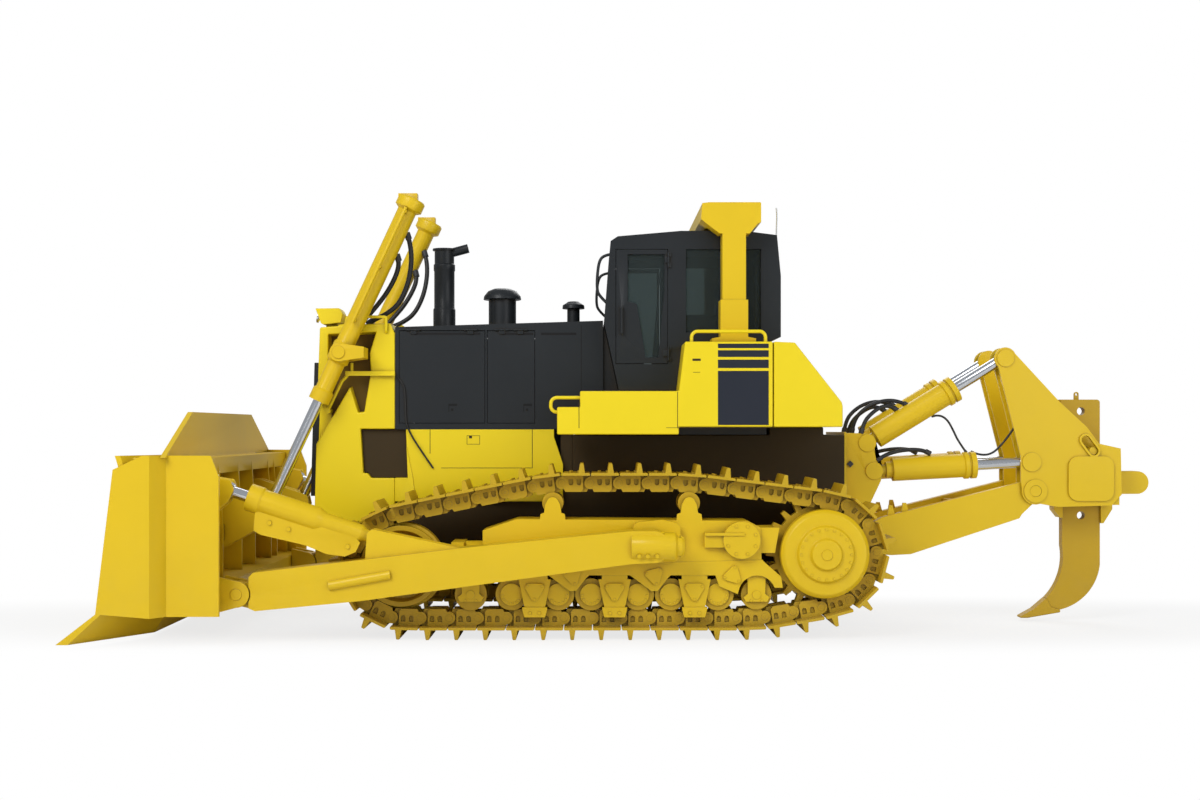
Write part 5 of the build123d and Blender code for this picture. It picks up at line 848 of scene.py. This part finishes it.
# The hood's groove and a seam line on it, in black painted shade.
lay_strips("hood_groove_shades", "shadow_paint", "tractor",
           ((-1.02, -0.66, 3.000, 3.024, HOOD_FACE), (-0.612, -0.606, 2.10, 3.10, HOOD_FACE)))
lay_strips("cover_seams", "hull_paint", "tractor", (
    (-2.156, -2.150, 1.790, 2.036, HOOD_FACE), (-1.112, -1.106, 1.645, 2.036, HOOD_FACE),
    (-2.040, -1.106, 1.640, 1.645, HOOD_FACE), (-1.755, -1.725, 1.945, 1.970, HOOD_FACE),
    (-1.778, -1.774, 1.885, 1.972, HOOD_FACE), (-1.648, -1.644, 1.885, 1.972, HOOD_FACE),
    (-1.778, -1.644, 1.970, 1.974, HOOD_FACE), (-1.778, -1.644, 1.883, 1.887, HOOD_FACE)))
print("stripes and seams laid")

# %% Latches and pressings on the engine doors, in black painted shade
for side, word in ((-1, "left"), (1, "right")):
    for end, groove, latch in (("front", (-2.31, -1.64), -1.92), ("rear", (-1.42, -1.10), -1.155)):
        lay_strips(f"door_groove_shades_{end}_{word}", "shadow_paint", f"engine_door_{end}_{word}", (
            (groove[0], groove[1], 3.000, 3.024, HOOD_FACE),
            (latch - 0.045, latch + 0.045, 2.275, 2.298, HOOD_FACE),
            (latch - 0.045, latch - 0.037, 2.215, 2.275, HOOD_FACE),
            (latch - 0.02, latch + 0.005, 2.225, 2.25, HOOD_FACE)),
            sides=(side,))
print("door latches placed")


# %% [markdown]
# ## Rods, glass and lamps
# A grab bar stands ahead of each front cab post, a whip aerial at the rear corner, and a
# chrome disc stands for the glass in front of each head lamp's dark bowl.

# %% Bent rods
def smooth_line(name, points):
    """An object with a smooth curve near its points."""
    line = bpy.data.curves.new(name, "CURVE")
    line.dimensions = "3D"
    spline = line.splines.new("NURBS")
    spline.points.add(len(points) - 1)
    for knot, point in zip(spline.points, points):
        knot.co = (*point, 1)
    spline.order_u = 3
    spline.use_endpoint_u = True
    return bpy.data.objects.new(name + "_line", line)


def tube_mesh(carrier, name, diameter):
    """The curve as a round tube with closed ends."""
    carrier.data.bevel_depth = diameter / 2
    carrier.data.bevel_resolution = 4
    carrier.data.use_fill_caps = True
    mesh = bpy.data.meshes.new_from_object(carrier)
    bpy.data.objects.remove(carrier)
    mesh.name = name
    mesh.shade_smooth()
    return mesh


def bent_rod(name, points, diameter, finish, body):
    """A rod along a smooth line."""
    return place_piece(name, tube_mesh(smooth_line(name, points), name, diameter), finish, body)


GRAB_BAR_Y, GRAB_BAR_SIZE, AERIAL_Y, AERIAL_SIZE = 0.93, 0.030, -0.90, 0.014
GRAB_BAR = ((-0.30, 3.80), (-0.37, 3.79), (-0.425, 3.74), (-0.445, 3.60), (-0.450, 3.46), (-0.43, 3.38),
            (-0.33, 3.29))
AERIAL = ((1.36, 3.95), (1.362, 4.08), (1.368, 4.20), (1.36, 4.27))
for side, word in ((-1, "left"), (1, "right")):
    bent_rod(f"cab_grab_bar_{word}", [(x, side * GRAB_BAR_Y, z) for x, z in GRAB_BAR], GRAB_BAR_SIZE,
             "charcoal_paint", "tractor")
bent_rod("aerial", [(x, AERIAL_Y, z) for x, z in AERIAL], AERIAL_SIZE, "chrome", "tractor")
print("bent rods placed")

# %% [markdown]
# ## Closing plates and linings
# Some gaps that are closed, or deep in shade, on the machine are open in the frame. A
# bulkhead shuts the hull behind the engine, a cowl fills the wedge between hood and cab, and
# dark sheets line the nose's bays and pockets. The bulkhead and the sheets are painted shade,
# in dark browns. The lift yokes stand over a hollow bay, so a block carries each one.
# They could be cut from copies of the hull, but flat plates from short outlines are enough.

# %% Hull bulkhead and the yokes' bearing blocks
BAY_WALL = 0.574
shape = bmesh.new()
# Its dark hull colour is painted shade.
plate(shape, [(-0.82, 1.57), (-0.702, 1.57), (-0.702, 2.09), (-0.82, 2.09)], -0.63, 0.63)
place_shape("hull_bulkhead", shape, "hull_paint", "tractor")
shape = bmesh.new()
plates_on_both_sides(shape, [(-3.10, 2.74), (-2.80, 2.755), (-2.80, 2.86), (-3.10, 2.875)], BAY_WALL, 0.7145)
place_shape("yoke_seats", shape, "work_paint", "tractor")
print("bulkhead and yoke seats placed")

# %% Cowl between the hood and the cab
shape = bmesh.new()
plate(shape, [(-0.383, 2.435), (-0.234, 2.435), (-0.380, 3.105), (-0.383, 3.105)], -0.66, 0.66)
place_shape("cowl", shape, "charcoal_paint", "tractor")
print("cowl placed")

# %% Dark linings of the nose's bays and pockets, as painted shade
shape = bmesh.new()
bay = [(-3.180, 2.995), (-2.715, 3.018), (-2.781, 2.813), (-2.767, 2.622), (-2.835, 2.224), (-2.885, 2.220),
       (-2.960, 2.460), (-3.180, 2.090)]
plates_on_both_sides(shape, bay, BAY_WALL, 0.580)
place_shape("bay_shade_linings", shape, "bay_paint", "tractor")
shape = bmesh.new()
pocket = [(-2.855, 2.034), (-2.406, 2.034), (-2.386, 1.546), (-2.752, 1.546), (-2.788, 1.596),
          (-2.829, 1.596)]
plates_on_both_sides(shape, pocket, 0.650, 0.656)
place_shape("pocket_shade_linings", shape, "hull_paint", "tractor")
print("bays and pockets lined")

# %% Lamp glass, bracket nuts and the drain line
glass = bmesh.new()
for side in (-1, 1):
    add_round(glass, (-3.310, side * 0.54, 3.195), (-1, 0, 0.25), 0.062, 0.016, 24)
place_shape("lamp_glass", glass, "chrome", "tractor")
nuts = bmesh.new()
for side in (-1, 1):
    add_round(nuts, (2.182, side * 0.432, 1.677), (0, side, 0), 0.034, 0.022, 4)
place_shape("bracket_nuts", nuts, "engine_iron", "tractor")
bent_rod("drain_line",
         ((-2.480, -0.712, 2.560), (-2.425, -0.714, 2.510), (-2.405, -0.714, 2.400), (-2.400, -0.714, 2.150),
                        (-2.385, -0.719, 2.060), (-2.300, -0.722, 1.900), (-2.120, -0.712, 1.640)), 0.018,
         "hose_rubber", "tractor")
guard_heads = bmesh.new()
for side in (-1, 1):
    for x, z in ((-3.555, 1.150), (-3.375, 1.088), (-2.815, 0.925)):
        add_round(guard_heads, (x, side * 1.821, z), (0, side, 0), 0.022, 0.018, 6)
place_shape("tilt_guard_bolts", guard_heads, "work_paint", "tilt_barrels")
print("lamp glass, nuts and line placed")

# %% [markdown]
# ## Hoses
# Hydraulic hoses leave the nose for the lift cylinders and the rear bracket for the
# ripper's. Each is a smooth tube along a few points between the two bodies that it joins.
# A steel collar closes each end and rides on the body at that end; a hose between two
# bodies is itself attached to neither. The two thin pin-puller hoses ride whole on one
# cylinder, and their far ends leave their fittings when the ripper moves.

# %% Hydraulic hoses
def hose(name, points, diameter, start_body, end_body):
    """A rubber hose from one body to another, with a steel collar on the body at each end; a hose between two
    bodies is attached to neither.
    """
    carrier = smooth_line(name, points)
    thread = bpy.data.meshes.new_from_object(carrier)
    path = [tuple(vertex.co) for vertex in thread.vertices]
    length = sum((Vector(after) - Vector(before)).length for before, after in zip(path, path[1:]))
    mesh = tube_mesh(carrier, name, diameter)
    mesh.materials.clear()
    mesh.materials.append(finishes["hose_rubber"])
    piece = bpy.data.objects.new(name, mesh)
    bpy.context.scene.collection.objects.link(piece)
    ends = (("start", points[0], points[1], start_body), ("end", points[-1], points[-2], end_body))
    for end, tip, toward, body in ends:
        shape = bmesh.new()
        direction = Vector(toward) - Vector(tip)
        add_round(shape, Vector(tip) - direction.normalized() * 0.01, direction, diameter * 0.66,
                  diameter * 1.4, 12)
        place_shape(f"{name}_collar_{end}", shape, "engine_iron", body)
    if start_body == end_body:
        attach(piece, start_body)
    else:
        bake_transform(piece)
    return length


LIFT_HOSE_SIZE, RIPPER_HOSE_SIZE, PULLER_HOSE_SIZE = 0.050, 0.042, 0.022
LIFT_HOSES = (
    ((-2.86, 0.69, 3.125), (-2.79, 0.70, 3.19), (-2.69, 0.72, 3.30), (-2.585, 0.745, 3.43),
     (-2.49, 0.765, 3.60),
     (-2.455, 0.79, 3.73), (-2.475, 0.815, 3.80)),
    ((-2.80, 0.60, 3.125), (-2.72, 0.62, 3.17), (-2.60, 0.65, 3.22), (-2.47, 0.68, 3.32),
     (-2.375, 0.71, 3.52),
     (-2.335, 0.74, 3.74), (-2.345, 0.78, 3.93), (-2.375, 0.81, 4.02)),
)
RIPPER_HOSES = (
    ((2.230, 0.253, 2.004), (2.252, 0.26, 2.130), (2.330, 0.28, 2.230), (2.450, 0.31, 2.310),
     (2.600, 0.325, 2.345),
     (2.740, 0.335, 2.320), (2.800, 0.335, 2.285)),
    ((2.300, 0.417, 2.002), (2.330, 0.405, 2.110), (2.410, 0.375, 2.200), (2.520, 0.345, 2.275),
     (2.620, 0.34, 2.285),
     (2.690, 0.335, 2.235)),
)
LOW_RIPPER_HOSE = ((2.470, 0.417, 1.718), (2.540, 0.410, 1.765), (2.640, 0.390, 1.800), (2.760, 0.360, 1.822),
                   (2.880, 0.340, 1.826), (2.980, 0.335, 1.812), (3.030, 0.335, 1.785))
UPPER_PULLER_HOSE = ((3.060, -0.335, 2.175), (3.130, -0.335, 2.190), (3.215, -0.335, 2.140),
                     (3.275, -0.335, 2.030), (3.330, -0.335, 1.910), (3.410, -0.335, 1.800))
LOWER_PULLER_HOSE = ((3.470, -0.335, 1.800), (3.560, -0.335, 1.765), (3.680, -0.345, 1.780),
                     (3.780, -0.360, 1.880), (3.850, -0.380, 1.980), (3.900, -0.405, 2.060))
rows = []
for side, word in ((-1, "left"), (1, "right")):
    for number, route in enumerate(LIFT_HOSES, 1):
        rows.append((f"lift_hose_{number}_{word}", side, route, LIFT_HOSE_SIZE, "tractor", "lift_barrels"))
    for number, route in enumerate(RIPPER_HOSES, 1):
        rows.append((f"ripper_tilt_hose_{number}_{word}", side, route, RIPPER_HOSE_SIZE, "tractor",
                     "ripper_tilt_barrels"))
    rows.append((f"ripper_lift_hose_{word}", side, LOW_RIPPER_HOSE, RIPPER_HOSE_SIZE, "tractor",
                 "ripper_lift_barrels"))
rows.append(("pin_puller_hose_upper", 1, UPPER_PULLER_HOSE, PULLER_HOSE_SIZE, "ripper_tilt_barrels",
             "ripper_tilt_barrels"))
rows.append(("pin_puller_hose_lower", 1, LOWER_PULLER_HOSE, PULLER_HOSE_SIZE, "ripper_lift_barrels",
             "ripper_lift_barrels"))
total = 0.0
for name, side, route, size, start_body, end_body in rows:
    total += hose(name, [(x, side * y, z) for x, y, z in route], size, start_body, end_body)
print("hoses, in all:", round(total, 2), "m")
